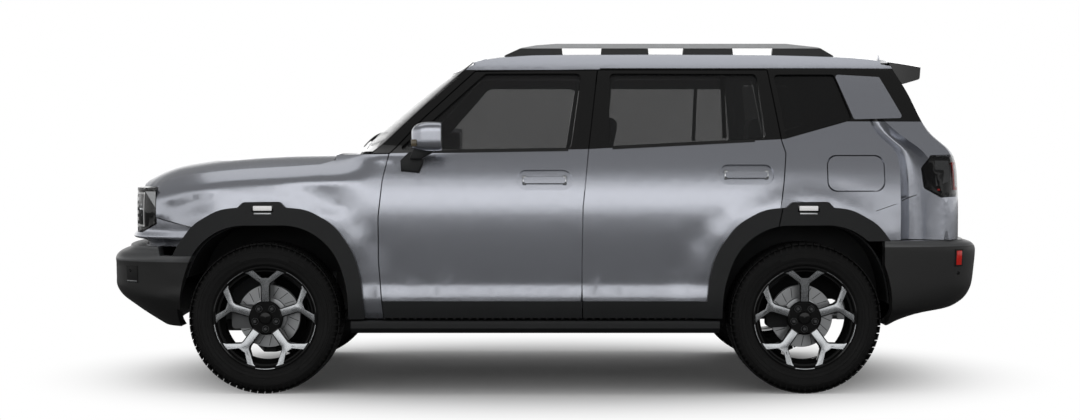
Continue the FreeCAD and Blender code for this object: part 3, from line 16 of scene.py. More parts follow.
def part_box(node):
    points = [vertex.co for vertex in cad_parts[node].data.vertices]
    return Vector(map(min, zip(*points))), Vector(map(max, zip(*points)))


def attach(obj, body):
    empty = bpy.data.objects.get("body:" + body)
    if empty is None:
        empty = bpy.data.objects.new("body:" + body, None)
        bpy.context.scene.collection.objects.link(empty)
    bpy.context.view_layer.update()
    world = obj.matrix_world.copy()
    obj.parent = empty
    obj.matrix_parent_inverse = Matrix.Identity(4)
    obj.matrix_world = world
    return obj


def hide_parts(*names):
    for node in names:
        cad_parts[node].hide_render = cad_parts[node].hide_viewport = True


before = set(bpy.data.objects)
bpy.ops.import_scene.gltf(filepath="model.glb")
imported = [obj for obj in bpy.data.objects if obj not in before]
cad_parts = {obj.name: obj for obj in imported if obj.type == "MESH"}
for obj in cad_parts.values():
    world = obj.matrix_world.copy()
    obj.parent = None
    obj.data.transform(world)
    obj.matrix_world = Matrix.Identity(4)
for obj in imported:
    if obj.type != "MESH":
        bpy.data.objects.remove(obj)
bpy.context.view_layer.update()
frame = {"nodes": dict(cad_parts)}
nodes = frame["nodes"]

# %% [markdown]
# The main stations of the car are named once. The camera and every added piece use them.

# %% Stations of the car
FRONT_AXLE = 1.4475
REAR_AXLE = -1.3625
AXLE_HEIGHT = 0.394
WHEEL_Y = 0.797
BELT = 1.250
B_SEAM = -0.2025

# %% [markdown]
# The photograph was taken from far to the left, a little above wheel height, with a long lens.
# The near and far wheels gave its distance, and the horizon gave its tilt. Moving the camera
# back with a longer lens would flatten the far wheels' offset, so the distance is kept.

# %% Camera
LENS = 54.1
TILT_DOWN = 1.94
camera_data = bpy.data.cameras.new("camera")
camera_data.lens = LENS
camera_data.sensor_width = 36.0
camera = bpy.data.objects.new("camera", camera_data)
bpy.context.scene.collection.objects.link(camera)
camera.location = (0.0165, 9.32, 1.243)
camera.rotation_euler = (math.radians(90 - TILT_DOWN), 0.0, math.radians(180))
bpy.context.scene.camera = camera
print("camera", tuple(camera.location))

# %% [markdown]
# Shader maths is easier to read as plain expressions. A Wire holds one socket, and Python's own
# operators add the Math nodes. A Finish is one material with a method that adds any other node.

# %% Shader helpers
class Wire:
    """A shader socket that can be used in sums."""

    def __init__(self, tree, socket):
        self.tree = tree
        self.socket = socket

    def join(self, operation, first, second):
        node = self.tree.nodes.new("ShaderNodeMath")
        node.operation = operation
        for slot, value in zip(node.inputs, (first, second)):
            if isinstance(value, Wire):
                self.tree.links.new(value.socket, slot)
            elif value is not None:
                slot.default_value = value
        return Wire(self.tree, node.outputs[0])

    def __add__(self, other):
        return self.join("ADD", self, other)

    def __sub__(self, other):
        return self.join("SUBTRACT", self, other)

    def __rsub__(self, other):
        return self.join("SUBTRACT", other, self)

    def __mul__(self, other):
        return self.join("MULTIPLY", self, other)

    def __gt__(self, other):
        return self.join("GREATER_THAN", self, other)

    def __lt__(self, other):
        return self.join("LESS_THAN", self, other)

    def power(self, other):
        return self.join("POWER", self, other)

    def absolute(self):
        return self.join("ABSOLUTE", self, None)

    def either(self, other):
        return self.join("MAXIMUM", self, other)

    def both(self, other):
        return self.join("MINIMUM", self, other)


class Finish:
    """One material, its shader, and a method that adds any node."""

    def __init__(self, name, **values):
        self.material = bpy.data.materials.new(name)
        self.material.use_nodes = True
        self.tree = self.material.node_tree
        self.shader = self.tree.nodes["Principled BSDF"]
        self.set(**values)

    def node(self, kind, settings=None, output=0, **inputs):
        node = self.tree.nodes.new("ShaderNode" + kind)
        for key, value in (settings or {}).items():
            setattr(node, key, value)
        for key, value in inputs.items():
            index = int(key[1:]) if key[1:].isdigit() else key.replace("_", " ")
            self.feed(node.inputs[index], value)
        return Wire(self.tree, node.outputs[output])

    def feed(self, socket, value):
        if isinstance(value, Wire):
            self.tree.links.new(value.socket, socket)
        else:
            socket.default_value = value

    def set(self, **values):
        for key, value in values.items():
            self.feed(self.shader.inputs[key.replace("_", " ")], value)

    def place(self, axis=None):
        wire = self.node("TexCoord", output=3)
        if axis is None:
            return wire
        return self.node("SeparateXYZ", output="XYZ".index(axis), Vector=wire)

    def noise(self, scale, detail=3.0, roughness=0.5, vector=None):
        vector = vector if vector is not None else self.place()
        return self.node("TexNoise", Vector=vector, Scale=scale, Detail=detail, Roughness=roughness)

    def blend(self, factor, first, second):
        return self.node("Mix", {"data_type": "RGBA"}, output=2, n0=factor, n6=first, n7=second)

    def range(self, value, from_low, from_high, to_low, to_high):
        return self.node("MapRange", n0=value, n1=from_low, n2=from_high, n3=to_low, n4=to_high)

    def bump(self, height, strength, distance=0.001):
        self.set(Normal=self.node("Bump", Height=height, Strength=strength, Distance=distance))


def grey(value, tint=0.0):
    """An opaque near-grey colour, bluer with a positive tint."""
    return (value * (1 - tint), value, value * (1 + tint), 1.0)


print("shader helpers ready")

# %% [markdown]
# Metallic paint is a coloured base with tiny flakes under a clear coat. The flakes are a fine
# Voronoi pattern that shifts the brightness of single specks, and a fine noise bump tilts the
# normal. A mirror-like metal would reflect the dark floor too hard, so the base is only partly metallic.

# %% Body paint
def flakes(finish, amount=0.035):
    cells = finish.node("TexVoronoi", output=1, Vector=finish.place(), Scale=900.0)
    speck = finish.node("SeparateColor", Color=cells)
    return (speck - 0.5) * amount


def dust(finish):
    """A faint haze on the lowest panels, as a parked car gathers it."""
    height = finish.place("Z")
    return finish.range(height + finish.noise(5.0) * 0.18, 0.35, 0.72, 0.10, 0.0)


PAINT = (0.400, 0.415, 0.460, 1.0)
DUST = (0.30, 0.285, 0.26, 1.0)
PAINT_METALLIC = 0.85
PAINT_COAT = 0.5


def paint_colour(finish):
    tone = finish.noise(1.3, detail=2.0) * 0.04 + flakes(finish) + 0.98
    shade = finish.node("HueSaturation", Color=PAINT, Value=tone)
    return finish.blend(dust(finish), shade, DUST)


def paint_roughness(finish):
    return finish.noise(35.0) * 0.04 + 0.22


paint = Finish("body_paint", Metallic=PAINT_METALLIC, Coat_Weight=PAINT_COAT, Coat_Roughness=0.03)
paint.set(Base_Color=paint_colour(paint), Roughness=paint_roughness(paint))
paint.bump(paint.noise(2600.0, detail=1.0), 0.05, 0.0003)

# %% [markdown]
# The pillars and the band round the windows are gloss black panels. They share one dark finish
# with the grille, with fine swirl marks in its roughness only, because real gloss black shows
# wear as haze and never as colour.

# %% Gloss black
gloss = Finish("gloss_black", Specular_IOR_Level=0.35)
gloss.set(Base_Color=gloss.blend(gloss.noise(6.0) * 0.3, grey(0.006), grey(0.011)))
gloss.set(Roughness=gloss.noise(60.0, detail=5.0) * 0.08 + 0.06)

# %% [markdown]
# Cladding is charcoal polypropylene with a moulded leather-like grain. The grain is a fine
# Voronoi bump, and wide noise shifts the tone a little so that large areas don't look printed.

# %% Grained plastic
def grained(name, tone, scale=420.0, strength=0.35):
    finish = Finish(name, Specular_IOR_Level=0.3)
    wide = finish.noise(3.0, detail=4.0)
    finish.set(Base_Color=finish.blend(wide, grey(tone * 0.85, 0.04), grey(tone * 1.2, 0.05)))
    finish.set(Roughness=wide * 0.12 + 0.50)
    cells = finish.node("TexVoronoi", {"feature": "SMOOTH_F1"}, Vector=finish.place(), Scale=scale)
    finish.bump(cells + finish.noise(1500.0) * 0.3, strength, 0.0006)
    return finish


cladding = grained("charcoal_cladding", 0.017)
cladding.set(Roughness=cladding.noise(3.0) * 0.10 + 0.40)
rubber = Finish("seal_rubber", Specular_IOR_Level=0.25)
rubber.set(Base_Color=rubber.blend(rubber.noise(20.0), grey(0.012), grey(0.02)))
rubber.set(Roughness=rubber.noise(90.0) * 0.15 + 0.55)

# %% [markdown]
# Side windows are dark privacy glass: the cabin still shows, dimly. Alpha keeps the render quick
# and survives the export, where real refraction through a thin pane would only add noise.

# %% Glass
def tinted(name, alpha, tone):
    finish = Finish(name, IOR=1.5, Specular_IOR_Level=0.4)
    finish.set(Base_Color=finish.blend(finish.noise(2.0), grey(tone), grey(tone * 1.3, 0.03)))
    finish.set(Roughness=finish.noise(12.0) * 0.02 + 0.012)
    finish.set(Alpha=finish.noise(1.5) * 0.02 + alpha)
    return finish


side_glass = tinted("tinted_glass", 0.50, 0.020)
quarter_glass_finish = tinted("dark_quarter_glass", 0.86, 0.006)
screen_glass = tinted("screen_glass", 0.30, 0.012)
screen_z = screen_glass.place("Z")
screen_y = screen_glass.place("Y").absolute()
edge_band = (screen_y > 1.172 - screen_z * 0.3).either(screen_z > 1.690).either(screen_z < 1.292)
screen_glass.set(Alpha=screen_glass.noise(1.5) * 0.01 + 0.30 + edge_band * 0.69)
screen_glass.set(Base_Color=screen_glass.blend(edge_band, grey(0.012), grey(0.006)))
lamp_glass = tinted("smoked_lamp_glass", 0.40, 0.02)

# %% [markdown]
# Metals come next: satin silver for the rails and trim, brushed steel for discs, cast iron for
# the calipers and knuckles, and a dark waxed coat for the parts under the floor.

# %% Metals and under-body coats
def metal(name, tone, roughness, brushed=0.0, tint=0.02, spread=0.12):
    finish = Finish(name, Metallic=1.0)
    streak = finish.node("Mapping", Vector=finish.place(), Scale=(3.0, 3.0, 160.0)) if brushed else None
    grain = finish.noise(18.0, detail=4.0, vector=streak)
    finish.set(Base_Color=finish.blend(grain, grey(tone * 0.88, tint), grey(tone * 1.08, tint)))
    finish.set(Roughness=grain * spread + roughness)
    if brushed:
        finish.bump(grain, brushed, 0.0003)
    return finish


satin = metal("satin_silver", 0.56, 0.26)
steel = metal("brushed_steel", 0.42, 0.30, brushed=0.12)
chrome = metal("chrome", 0.80, 0.05, spread=0.03)
iron = metal("cast_iron", 0.17, 0.52)
iron.bump(iron.noise(300.0, detail=6.0), 0.5, 0.001)
underseal = grained("underseal", 0.016, scale=160.0, strength=0.5)
underseal.set(Roughness=underseal.noise(8.0) * 0.15 + 0.62)

# %% [markdown]
# The tyre is worn-in black rubber with a tone varied by noise. The seats get a woven cloth made of two
# crossed waves, and the cabin trim is a soft black plastic with a fine grain.

# %% Rubber, cloth and cabin trim
tread_rubber = Finish("tyre_rubber", Specular_IOR_Level=0.2)
tread_rubber.set(Base_Color=tread_rubber.blend(tread_rubber.noise(9.0, detail=5.0), grey(0.006), grey(0.013)))
tread_rubber.set(Roughness=tread_rubber.noise(40.0) * 0.14 + 0.55)
tread_rubber.bump(tread_rubber.noise(700.0), 0.25, 0.0005)

trim = grained("cabin_trim", 0.020, scale=520.0, strength=0.25)
cloth = Finish("seat_cloth", Sheen_Weight=0.25, Sheen_Roughness=0.5)
weft = cloth.node("TexWave", {"bands_direction": "Y"}, output=1, Vector=cloth.place(), Scale=260.0)
warp = cloth.node("TexWave", {"bands_direction": "Z"}, output=1, Vector=cloth.place(), Scale=260.0)
weave = weft * 0.5 + warp * 0.5
cloth.set(Base_Color=cloth.blend(weave, grey(0.018), grey(0.045, 0.02)), Roughness=weave * 0.1 + 0.75)
cloth.bump(weave, 0.4, 0.0006)
print(len(bpy.data.materials), "finishes")

# %% [markdown]
# Most CAD nodes already have the right shape and only need a finish. The doors, the body side and
# the tailgate change from paint to gloss black along the window line, so their material works
# out that line from the place along the car. Cutting the panels in two would add false joints.

# %% Two-tone body panels
def window_line(finish):
    """Height of the edge between paint and the black band, along the car."""
    x = finish.place("X")
    front = (-0.243 - x) * 0.0213 + 1.274
    middle = (-0.243 - x) * 0.0512 + 1.274
    rear = (-1.259 - x) * 0.28 + 1.326
    return front.either(middle).either(rear).both(1.418)


def two_tone(name, mask):
    """Body paint where the mask is 0 and gloss black where it is 1."""
    finish = Finish(name)
    low = paint_colour(finish)
    black = mask(finish)
    finish.set(Base_Color=finish.blend(black, low, grey(0.009)), Metallic=(1 - black) * PAINT_METALLIC)
    finish.set(Roughness=paint_roughness(finish) - black * 0.14)
    finish.set(Coat_Weight=PAINT_COAT - black * PAINT_COAT)
    finish.set(Coat_Roughness=0.03, Specular_IOR_Level=0.35)
    return finish


def door_mask(finish):
    return finish.place("Z") > window_line(finish)


def quarter_mask(finish):
    height = finish.place("Z")
    ahead = finish.place("X") > -0.30
    return (height > window_line(finish)).both(height < 1.702 - ahead * 0.009)


def tail_mask(finish):
    return (finish.place("Z") > 1.292).both(finish.place("Z") < 1.752)


door_paint = two_tone("door_paint", door_mask)
side_paint = two_tone("side_paint", quarter_mask)
tail_paint = two_tone("tail_paint", tail_mask)
spoiler_paint = two_tone("spoiler_paint", lambda finish: finish.place("Z") < 1.735)

# %% [markdown]
# The roof rails are silver bars on dark feet. The feet are the low stretches under the
# rail, so the mask goes by height. The bumpers have a paler strip along their tops, a painted
# highlight that stands for light on their top chamfers, cut off by height in the same way.

# %% Rails and other mixed nodes
def mixed(name, mask, base, other, rough_base, rough_other, metallic=1.0):
    finish = Finish(name)
    part = mask(finish)
    grain = finish.noise(40.0, detail=4.0)
    finish.set(Base_Color=finish.blend(part, finish.blend(grain, base, grey(base[1] * 1.1)), other))
    finish.set(Metallic=(1 - part) * metallic,
               Roughness=part * (rough_other - rough_base) + rough_base + grain * 0.08)
    return finish


rail_finish = mixed("rail_silver", lambda f: f.place("Z") < 1.815, grey(0.27, 0.03), grey(0.014), 0.30, 0.45)
# Painted highlight: the paler grey above these heights on the front and rear bumpers stands for light on
# their top chamfers.
front_bumper_top_highlight_finish = mixed("front_bumper_plastic", lambda f: f.place("Z") < 0.688, grey(0.105, 0.05),
                            grey(0.013), 0.34, 0.44, 0.5)
rear_bumper_top_highlight_finish = mixed("rear_bumper_plastic", lambda f: f.place("Z") < 0.768, grey(0.105, 0.05),
                           grey(0.013), 0.34, 0.44, 0.5)

DRESSING = [
    (paint, "hood_panel front_wings roof_panel fuel_flap front_apron side_panels door_mirror_*"),
    (side_paint, "body_side_*"),
    (door_paint, "door_front_panel_* door_rear_panel_*"),
    (tail_paint, "tailgate_panel"),
    (spoiler_paint, "spoiler"),
    (side_glass, "door_front_glass_* door_rear_glass_* tailgate_glass"),
    (quarter_glass_finish, "quarter_glass"),
    (screen_glass, "windscreen"),
    (lamp_glass, "headlamps tail_lamps"),
    (cladding, "door_front_cladding_* door_rear_cladding_* arch_flares side_steps bulkhead"),
    (front_bumper_top_highlight_finish, "front_bumper"),
    (rear_bumper_top_highlight_finish, "rear_bumper"),
    (rail_finish, "roof_rails"),
    (gloss, "grille"),
    (underseal, "floor_pan wheel_liners front_suspension rear_axle"),
    (iron, "engine knuckle_*"),
    (steel, "exhaust"),
    (trim, "dashboard steering_wheel"),
    (cloth, "front_seats rear_seat"),
    (satin, "rim_*"),
    (tread_rubber, "tyre_*"),
]


def dress(node, finish):
    """Give every material slot of a CAD node the same finish."""
    for slot in nodes[node].material_slots:
        slot.material = finish.material


for finish, patterns in DRESSING:
    for pattern in patterns.split():
        for node_name in fnmatch.filter(nodes, pattern):
            dress(node_name, finish)
for node_name in nodes:
    for slot in nodes[node_name].material_slots:
        assert slot.material, node_name
print("dressed", len(nodes), "CAD nodes")

# %% [markdown]
# New pieces are modelled as by hand: a point or a primitive is extruded, inset, bevelled and spun
# in edit mode. These helpers start a piece at the world's origin, so that its place is in its mesh
# from the first point, and finish it with normals, smooth shading, a finish and a body to ride on.

# %% Modelling helpers
from contextlib import contextmanager

ops = bpy.ops


def rest_tools():
    """Back to object mode with nothing selected."""
    if bpy.context.object and bpy.context.object.mode != "OBJECT":
        ops.object.mode_set(mode="OBJECT")
    ops.object.select_all(action="DESELECT")


@contextmanager
def editing(piece):
    """Edit mode on one piece only, with nothing in it selected."""
    rest_tools()
    bpy.context.view_layer.objects.active = piece
    piece.select_set(True)
    ops.object.mode_set(mode="EDIT")
    ops.mesh.select_all(action="DESELECT")
    yield
    ops.object.mode_set(mode="OBJECT")


def everything():
    ops.mesh.select_all(action="SELECT")


def weld():
    """Merge the points that lie on one another."""
    everything()
    ops.mesh.remove_doubles(threshold=0.00005)


def pick(piece, kind, test):
    """Select the faces or points of the edited piece that pass a test."""
    ops.mesh.select_mode(type=kind)
    ops.mesh.select_all(action="DESELECT")
    mesh = bmesh.from_edit_mesh(piece.data)
    for part in {"FACE": mesh.faces, "VERT": mesh.verts}[kind]:
        if test(part):
            part.select_set(True)
    bmesh.update_edit_mesh(piece.data)


def draw(name, points, fill=False):
    """A line of points extruded one from the other, and filled as a face if wanted."""
    rest_tools()
    ops.mesh.primitive_plane_add(size=0.001, location=(0, 0, 0))
    piece = bpy.context.object
    piece.name = name
    ops.object.mode_set(mode="EDIT")
    ops.mesh.select_mode(type="VERT")
    ops.mesh.merge(type="CENTER")
    ops.transform.translate(value=points[0])
    for before, after in zip(points, points[1:]):
        step = Vector(after) - Vector(before)
        ops.mesh.extrude_region_move(TRANSFORM_OT_translate={"value": step})
    if fill:
        everything()
        ops.mesh.edge_face_add()
    ops.object.mode_set(mode="OBJECT")
    return piece


def lathe(name, profile, steps):
    """A (radius, along) profile spun about the Y axis."""
    piece = draw(name, [(0.0, along, radius) for radius, along in profile])
    with editing(piece):
        everything()
        ops.mesh.spin(steps=steps, angle=math.tau, center=(0, 0, 0), axis=(0, 1, 0))
        weld()
        ops.mesh.normals_make_consistent(inside=False)
    return piece


def plate(name, points, thickness, bevel=0.0, segments=2):
    """A filled outline given a thickness vector and a small bevel on its far edges."""
    piece = draw(name, points, fill=True)
    with editing(piece):
        everything()
        ops.mesh.extrude_region_move(TRANSFORM_OT_translate={"value": thickness})
        everything()
        ops.mesh.normals_make_consistent(inside=False)
        if bevel:
            way = Vector(thickness).normalized()
            pick(piece, "FACE", lambda face: face.normal.dot(way) > 0.9)
            ops.mesh.bevel(offset=bevel, segments=segments, affect="EDGES")
    return piece


def block(name, low, high, bevel=0.0, segments=2):
    """A box between two corners with rounded edges."""
    rest_tools()
    ops.mesh.primitive_cube_add(size=1.0, location=(0, 0, 0))
    piece = bpy.context.object
    piece.name = name
    low, high = Vector(low), Vector(high)
    ops.object.mode_set(mode="EDIT")
    everything()
    ops.transform.resize(value=high - low)
    ops.transform.translate(value=(low + high) / 2)
    if bevel:
        ops.mesh.bevel(offset=bevel, segments=segments, affect="EDGES")
    ops.object.mode_set(mode="OBJECT")
    return piece


def repeat_round(piece, count):
    """Copies of everything in the piece, turned about the Y axis."""
    with editing(piece):
        everything()
        ops.mesh.spin(steps=count - 1, dupli=True, angle=math.tau * (count - 1) / count, center=(0, 0, 0),
                      axis=(0, 1, 0))


def modify(piece, kind, **settings):
    """Add a modifier with its settings and apply it."""
    rest_tools()
    bpy.context.view_layer.objects.active = piece
    piece.select_set(True)
    modifier = piece.modifiers.new(kind.lower(), kind)
    for key, value in settings.items():
        setattr(modifier, key, value)
    ops.object.modifier_apply(modifier=modifier.name)


def merge(name, *pieces):
    """Join pieces into the first one."""
    rest_tools()
    for piece in pieces:
        piece.select_set(True)
    bpy.context.view_layer.objects.active = pieces[0]
    ops.object.join()
    pieces[0].name = name
    return pieces[0]


def settle(piece, body, finish, smooth=32.0, stands_for=()):
    """The last steps of every piece: shading, finish, slot, and the body that it rides on."""
    rest_tools()
    bpy.context.view_layer.objects.active = piece
    piece.select_set(True)
    ops.object.shade_smooth_by_angle(angle=math.radians(smooth))
    piece.data.materials.clear()
    piece.data.materials.append(finish.material)
    piece.data.name = piece.name
    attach(piece, body)
    if stands_for:
        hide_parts(*stands_for)


def copy_of(piece, name, matrix):
    """A copy with its own mesh, moved by a matrix that goes into its points."""
    twin = piece.copy()
    twin.data = piece.data.copy()
    twin.name = name
    bpy.context.scene.collection.objects.link(twin)
    twin.data.transform(matrix)
    if matrix.determinant() < 0:
        twin.data.flip_normals()
    return twin


def discard(piece):
    bpy.data.objects.remove(piece, do_unlink=True)


FLIP = Matrix.Scale(-1, 4, (0, 1, 0))


def pair(piece, body, finish, smooth=32.0, stands_for=()):
    """Settle a left piece and its mirror image. Names end in the side, and bodies may do so too."""
    stem = piece.name
    twin = copy_of(piece, stem + "_right", FLIP)
    piece.name = stem + "_left"
    for one, side in ((piece, "left"), (twin, "right")):
        settle(one, body.replace("SIDE", side), finish, smooth,
               [n.replace("SIDE", side) for n in stands_for])


print("modelling helpers ready")

# %% [markdown]
# A road tyre is a spun carcass with rings moulded in its sidewall, and a crown cut into ribs and
# blocks. The carcass could carry the tread as a bump, but the shoulder blocks show against the
# light, so each pitch of the tread is a few real blocks, repeated round the tyre.

# %% Tyre carcass
TREAD_BASE = 0.3855
side_rings = [(0.268, 0.098), (0.276, 0.106), (0.284, 0.113), (0.290, 0.1135), (0.291, 0.1155),
              (0.296, 0.1155),
              (0.297, 0.1175), (0.308, 0.1205), (0.309, 0.1225), (0.3115, 0.1225), (0.3125, 0.1215),
              (0.328, 0.1240), (0.329, 0.1255), (0.331, 0.1255), (0.332, 0.1240), (0.346, 0.1240),
              (0.347, 0.1255), (0.3505, 0.1250), (0.3515, 0.1230), (0.362, 0.1190), (0.372, 0.1130),
              (0.379, 0.1050), (TREAD_BASE - 0.002, 0.0940)]
crown = [(TREAD_BASE, 0.078), (TREAD_BASE + 0.001, 0.040), (TREAD_BASE + 0.0015, 0.0)]
half_profile = [(0.243, 0.088), (0.258, 0.094)] + side_rings + crown
tyre_profile = half_profile + [(radius, -along) for radius, along in half_profile[-2::-1]]
tyre = lathe("tyre_master", tyre_profile + [half_profile[0]], 96)
print("carcass", len(tyre.data.polygons), "faces")

# %% [markdown]
# One pitch has a slanted shoulder block on each side, two rib blocks and a middle rib. Each block
# is an outline on the crown, raised to the tyre's full radius with its edges bevelled.

# %% Tread blocks
PITCHES = 64
pitch = math.tau / PITCHES


def tread_block(corners, top):
    """Corners are (share of the pitch, along). The block stands from the base up to the top."""
    points = []
    for share, along in corners:
        turn = share * pitch
        points.append((TREAD_BASE * math.sin(turn), along, TREAD_BASE * math.cos(turn)))
    return plate("block", points, (0, 0, top - TREAD_BASE), bevel=0.0012, segments=1)


OUTER_RADIUS = 0.3938
tread = [
    tread_block([(0.06, 0.118), (0.92, 0.118), (0.80, 0.080), (-0.06, 0.080)], OUTER_RADIUS - 0.0022),
    tread_block([(-0.10, 0.072), (0.76, 0.072), (0.64, 0.034), (-0.22, 0.034)], OUTER_RADIUS),
    tread_block([(-0.24, 0.027), (0.68, 0.027), (0.60, -0.011), (-0.32, -0.011)], OUTER_RADIUS),
    tread_block([(-0.30, -0.018), (0.56, -0.018), (0.66, -0.072), (-0.20, -0.072)], OUTER_RADIUS),
    tread_block([(-0.16, -0.080), (0.70, -0.080), (0.82, -0.118), (-0.04, -0.118)], OUTER_RADIUS - 0.0022),
]
tread = merge("tread", *tread)
repeat_round(tread, PITCHES)

# %% [markdown]
# Small ribs on the shoulder and two raised plain panels on the sidewall break up its rings, where
# a maker would mould a name. They stay blank.

# %% Sidewall panels
ribs = []
for side in (1, -1):
    rib = plate("rib", [(-0.0045, side * 0.1135, 0.3560), (0.0045, side * 0.1135, 0.3560),
                        (0.0045, side * 0.1050, 0.3800), (-0.0045, side * 0.1050, 0.3800)],
                (0, side * 0.0085, 0.0015), bevel=0.001, segments=1)
    ribs.append(rib)
shoulder_ribs = merge("shoulder_ribs", *ribs)
repeat_round(shoulder_ribs, 72)


def sidewall_panel(start, end, low, high, out):
    """A raised band on the outer sidewall between two angles in degrees."""
    angles = [math.radians(start + (end - start) * i / 14) for i in range(15)]
    rim_line = [(high * math.sin(a), out, high * math.cos(a)) for a in angles]
    back = [(low * math.sin(a), out, low * math.cos(a)) for a in angles[::-1]]
    return plate("panel", rim_line + back, (0, 0.0035, 0), bevel=0.0012, segments=1)


panels = [sidewall_panel(-24, 24, 0.314, 0.344, 0.1215), sidewall_panel(146, 214, 0.314, 0.344, 0.1215)]
for start in (38, 92, 226, 280):
    panels.append(sidewall_panel(start, start + 42, 0.334, 0.343, 0.1222))
tyre_master = merge("tyre_master", tyre, tread, shoulder_ribs, *panels)
print("tyre", sum(len(p.vertices) - 2 for p in tyre_master.data.polygons), "triangles")

# %% [markdown]
# The wheel is a cast rim with five forked spokes. Their faces are turned bright on a lathe and the
# rest stays gloss black, so faces and bodies are two pieces. The forks are drawn as an outline,
# given depth, bevelled and repeated five times, as the caster's pattern is.

# %% Rim barrel and hub
barrel_profile = [(0.2700, 0.1070), (0.2660, 0.1085), (0.2600, 0.1060), (0.2560, 0.0980), (0.2500, 0.0900),
                  (0.2440, 0.0820), (0.2420, 0.0600), (0.2260, 0.0380), (0.2240, 0.0000), (0.2340, -0.0300),
                  (0.2400, -0.0900), (0.2560, -0.0990), (0.2600, -0.1070), (0.2700, -0.1070), (0.2700,
                                                                                               -0.1010),
                  (0.2620, -0.0960), (0.2530, -0.0930), (0.2510, -0.0400), (0.2330, -0.0100), (0.2330,
                                                                                               0.0350),
                  (0.2520, 0.0600), (0.2530, 0.0900), (0.2620, 0.0980), (0.2700, 0.1010), (0.2700, 0.1070)]
barrel = lathe("barrel", barrel_profile, 96)
HUB_FACE = 0.083
hub_profile = [(0.0251, -0.051), (0.0740, -0.051), (0.0760, 0.020), (0.0900, 0.045),
               (0.0900, HUB_FACE - 0.010),
               (0.0860, HUB_FACE - 0.004), (0.0800, HUB_FACE), (0.0360, HUB_FACE), (0.0345, HUB_FACE - 0.004),
               (0.0325, HUB_FACE - 0.004), (0.0310, HUB_FACE + 0.004), (0.0280, HUB_FACE + 0.007),
               (0.0140, HUB_FACE + 0.0085), (0.0002, HUB_FACE + 0.009), (0.0002, 0.050), (0.0251,
                                                                                          0.050), (0.0251,
                                                                                                   -0.051)]
hub = lathe("hub", hub_profile, 60)

# %% [markdown]
# Each fork is wider at its black body than at its bright face. The bright face sits one and a
# half millimetres proud, which leaves the thin dark line that a machined wheel shows.

# %% Forked spokes
fork_half = [(0.0185, 0.086), (0.0190, 0.168), (0.0250, 0.183), (0.0870, 0.2290), (0.1270, 0.2430),
             (0.1010, 0.2550), (0.0790, 0.2620), (0.0190, 0.2090)]
SPOKE_FACE = 0.0985


def fork(name, grow, low, thick, bevel):
    """The fork's outline widened by a margin, standing on a plane across the wheel."""
    right = []
    for across, up in fork_half:
        length = math.hypot(across, up)
        wide = grow if length < 0.23 else grow * 0.6
        right.append((across + wide, up - (grow if up < 0.1 else 0) + (-grow if 0.2 < up < 0.212 else 0)))
    outline = right + [(-across, up) for across, up in right[::-1]]
    points = [(across, low, up) for across, up in outline]
    return plate(name, points, (0, thick, 0), bevel=bevel, segments=2)


body_of_spoke = fork("spoke_body", 0.0055, SPOKE_FACE - 0.042, 0.0395, 0.003)
face_of_spoke = fork("spoke_face", 0.0, SPOKE_FACE - 0.012, 0.0115, 0.0014)
for spoke, depth in ((body_of_spoke, 0.013), (face_of_spoke, 0.013)):
    with editing(spoke):
        pick(spoke, "VERT", lambda point: point.co.z < 0.12)
        ops.transform.translate(value=(0, -depth, 0))
        pick(spoke, "VERT", lambda point: 0.12 <= point.co.z < 0.20)
        ops.transform.translate(value=(0, -depth * 0.45, 0))
    repeat_round(spoke, 5)

# %% [markdown]
# Between the forks a thin bright line runs along the rim's lip. The five wheel nuts sit in dark
# wells round a plain centre cap, as on the real wheel, and no mark is put on the cap.

# %% Lip lines, nuts and disc
lip_points = []
for step in range(9):
    turn = math.radians(36 - 11 + 22 * step / 8)
    lip_points.append((0.2665 * math.sin(turn), 0.1075, 0.2665 * math.cos(turn)))
for step in range(9):
    turn = math.radians(36 + 11 - 22 * step / 8)
    lip_points.append((0.2630 * math.sin(turn), 0.1070, 0.2630 * math.cos(turn)))
lip = plate("lip_line", lip_points, (0, 0.0018, 0), bevel=0.0006, segments=1)
repeat_round(lip, 5)

rest_tools()
ops.mesh.primitive_cylinder_add(vertices=6, radius=0.0105, depth=0.020,
                                location=(0, HUB_FACE + 0.004, -0.058),
                                rotation=(math.pi / 2, 0, 0))
nut = bpy.context.object
nut.name = "nut"
ops.object.transform_apply(location=True, rotation=True, scale=True)
with editing(nut):
    pick(nut, "FACE", lambda face: face.normal.y > 0.9)
    ops.mesh.inset(thickness=0.003)
    ops.transform.translate(value=(0, 0.0025, 0))
well = lathe("well", [(0.0185, HUB_FACE - 0.003), (0.0175, HUB_FACE + 0.0025), (0.0155, HUB_FACE + 0.0025),
                      (0.0140, HUB_FACE - 0.001)], 24)
with editing(well):
    everything()
    ops.transform.translate(value=(0, 0, -0.058))
nuts = merge("nuts", nut, well)
repeat_round(nuts, 5)

disc = lathe("disc", [(0.0770, -0.049), (0.0930, -0.049), (0.0960, -0.050), (0.1640, -0.050),
                      (0.1650, -0.048), (0.1650, -0.040),
                      (0.1610, -0.040), (0.1610, -0.034), (0.1650, -0.034), (0.1650, -0.026), (0.1640,
                                                                                               -0.024),
                      (0.0990, -0.024), (0.0960, -0.018), (0.0780, -0.016), (0.0770, -0.049)], 72)
slit = plate("slit", [(0.012, -0.0245, 0.105), (0.015, -0.0245, 0.106), (0.003, -0.0245, 0.158),
                      (0.000, -0.0245, 0.157)],
             (0, 0.0008, 0))
repeat_round(slit, 18)

black_rim = merge("rim_black", barrel, hub, body_of_spoke)
bright_rim = merge("rim_bright", face_of_spoke, lip)
print("rim", len(black_rim.data.polygons) + len(bright_rim.data.polygons), "faces")

# %% [markdown]
# A machined face has fine turning rings about the wheel's centre. Each wheel stands elsewhere, so
# the rings are worked out from the distance to the nearer axle, in the piece's own coordinates.

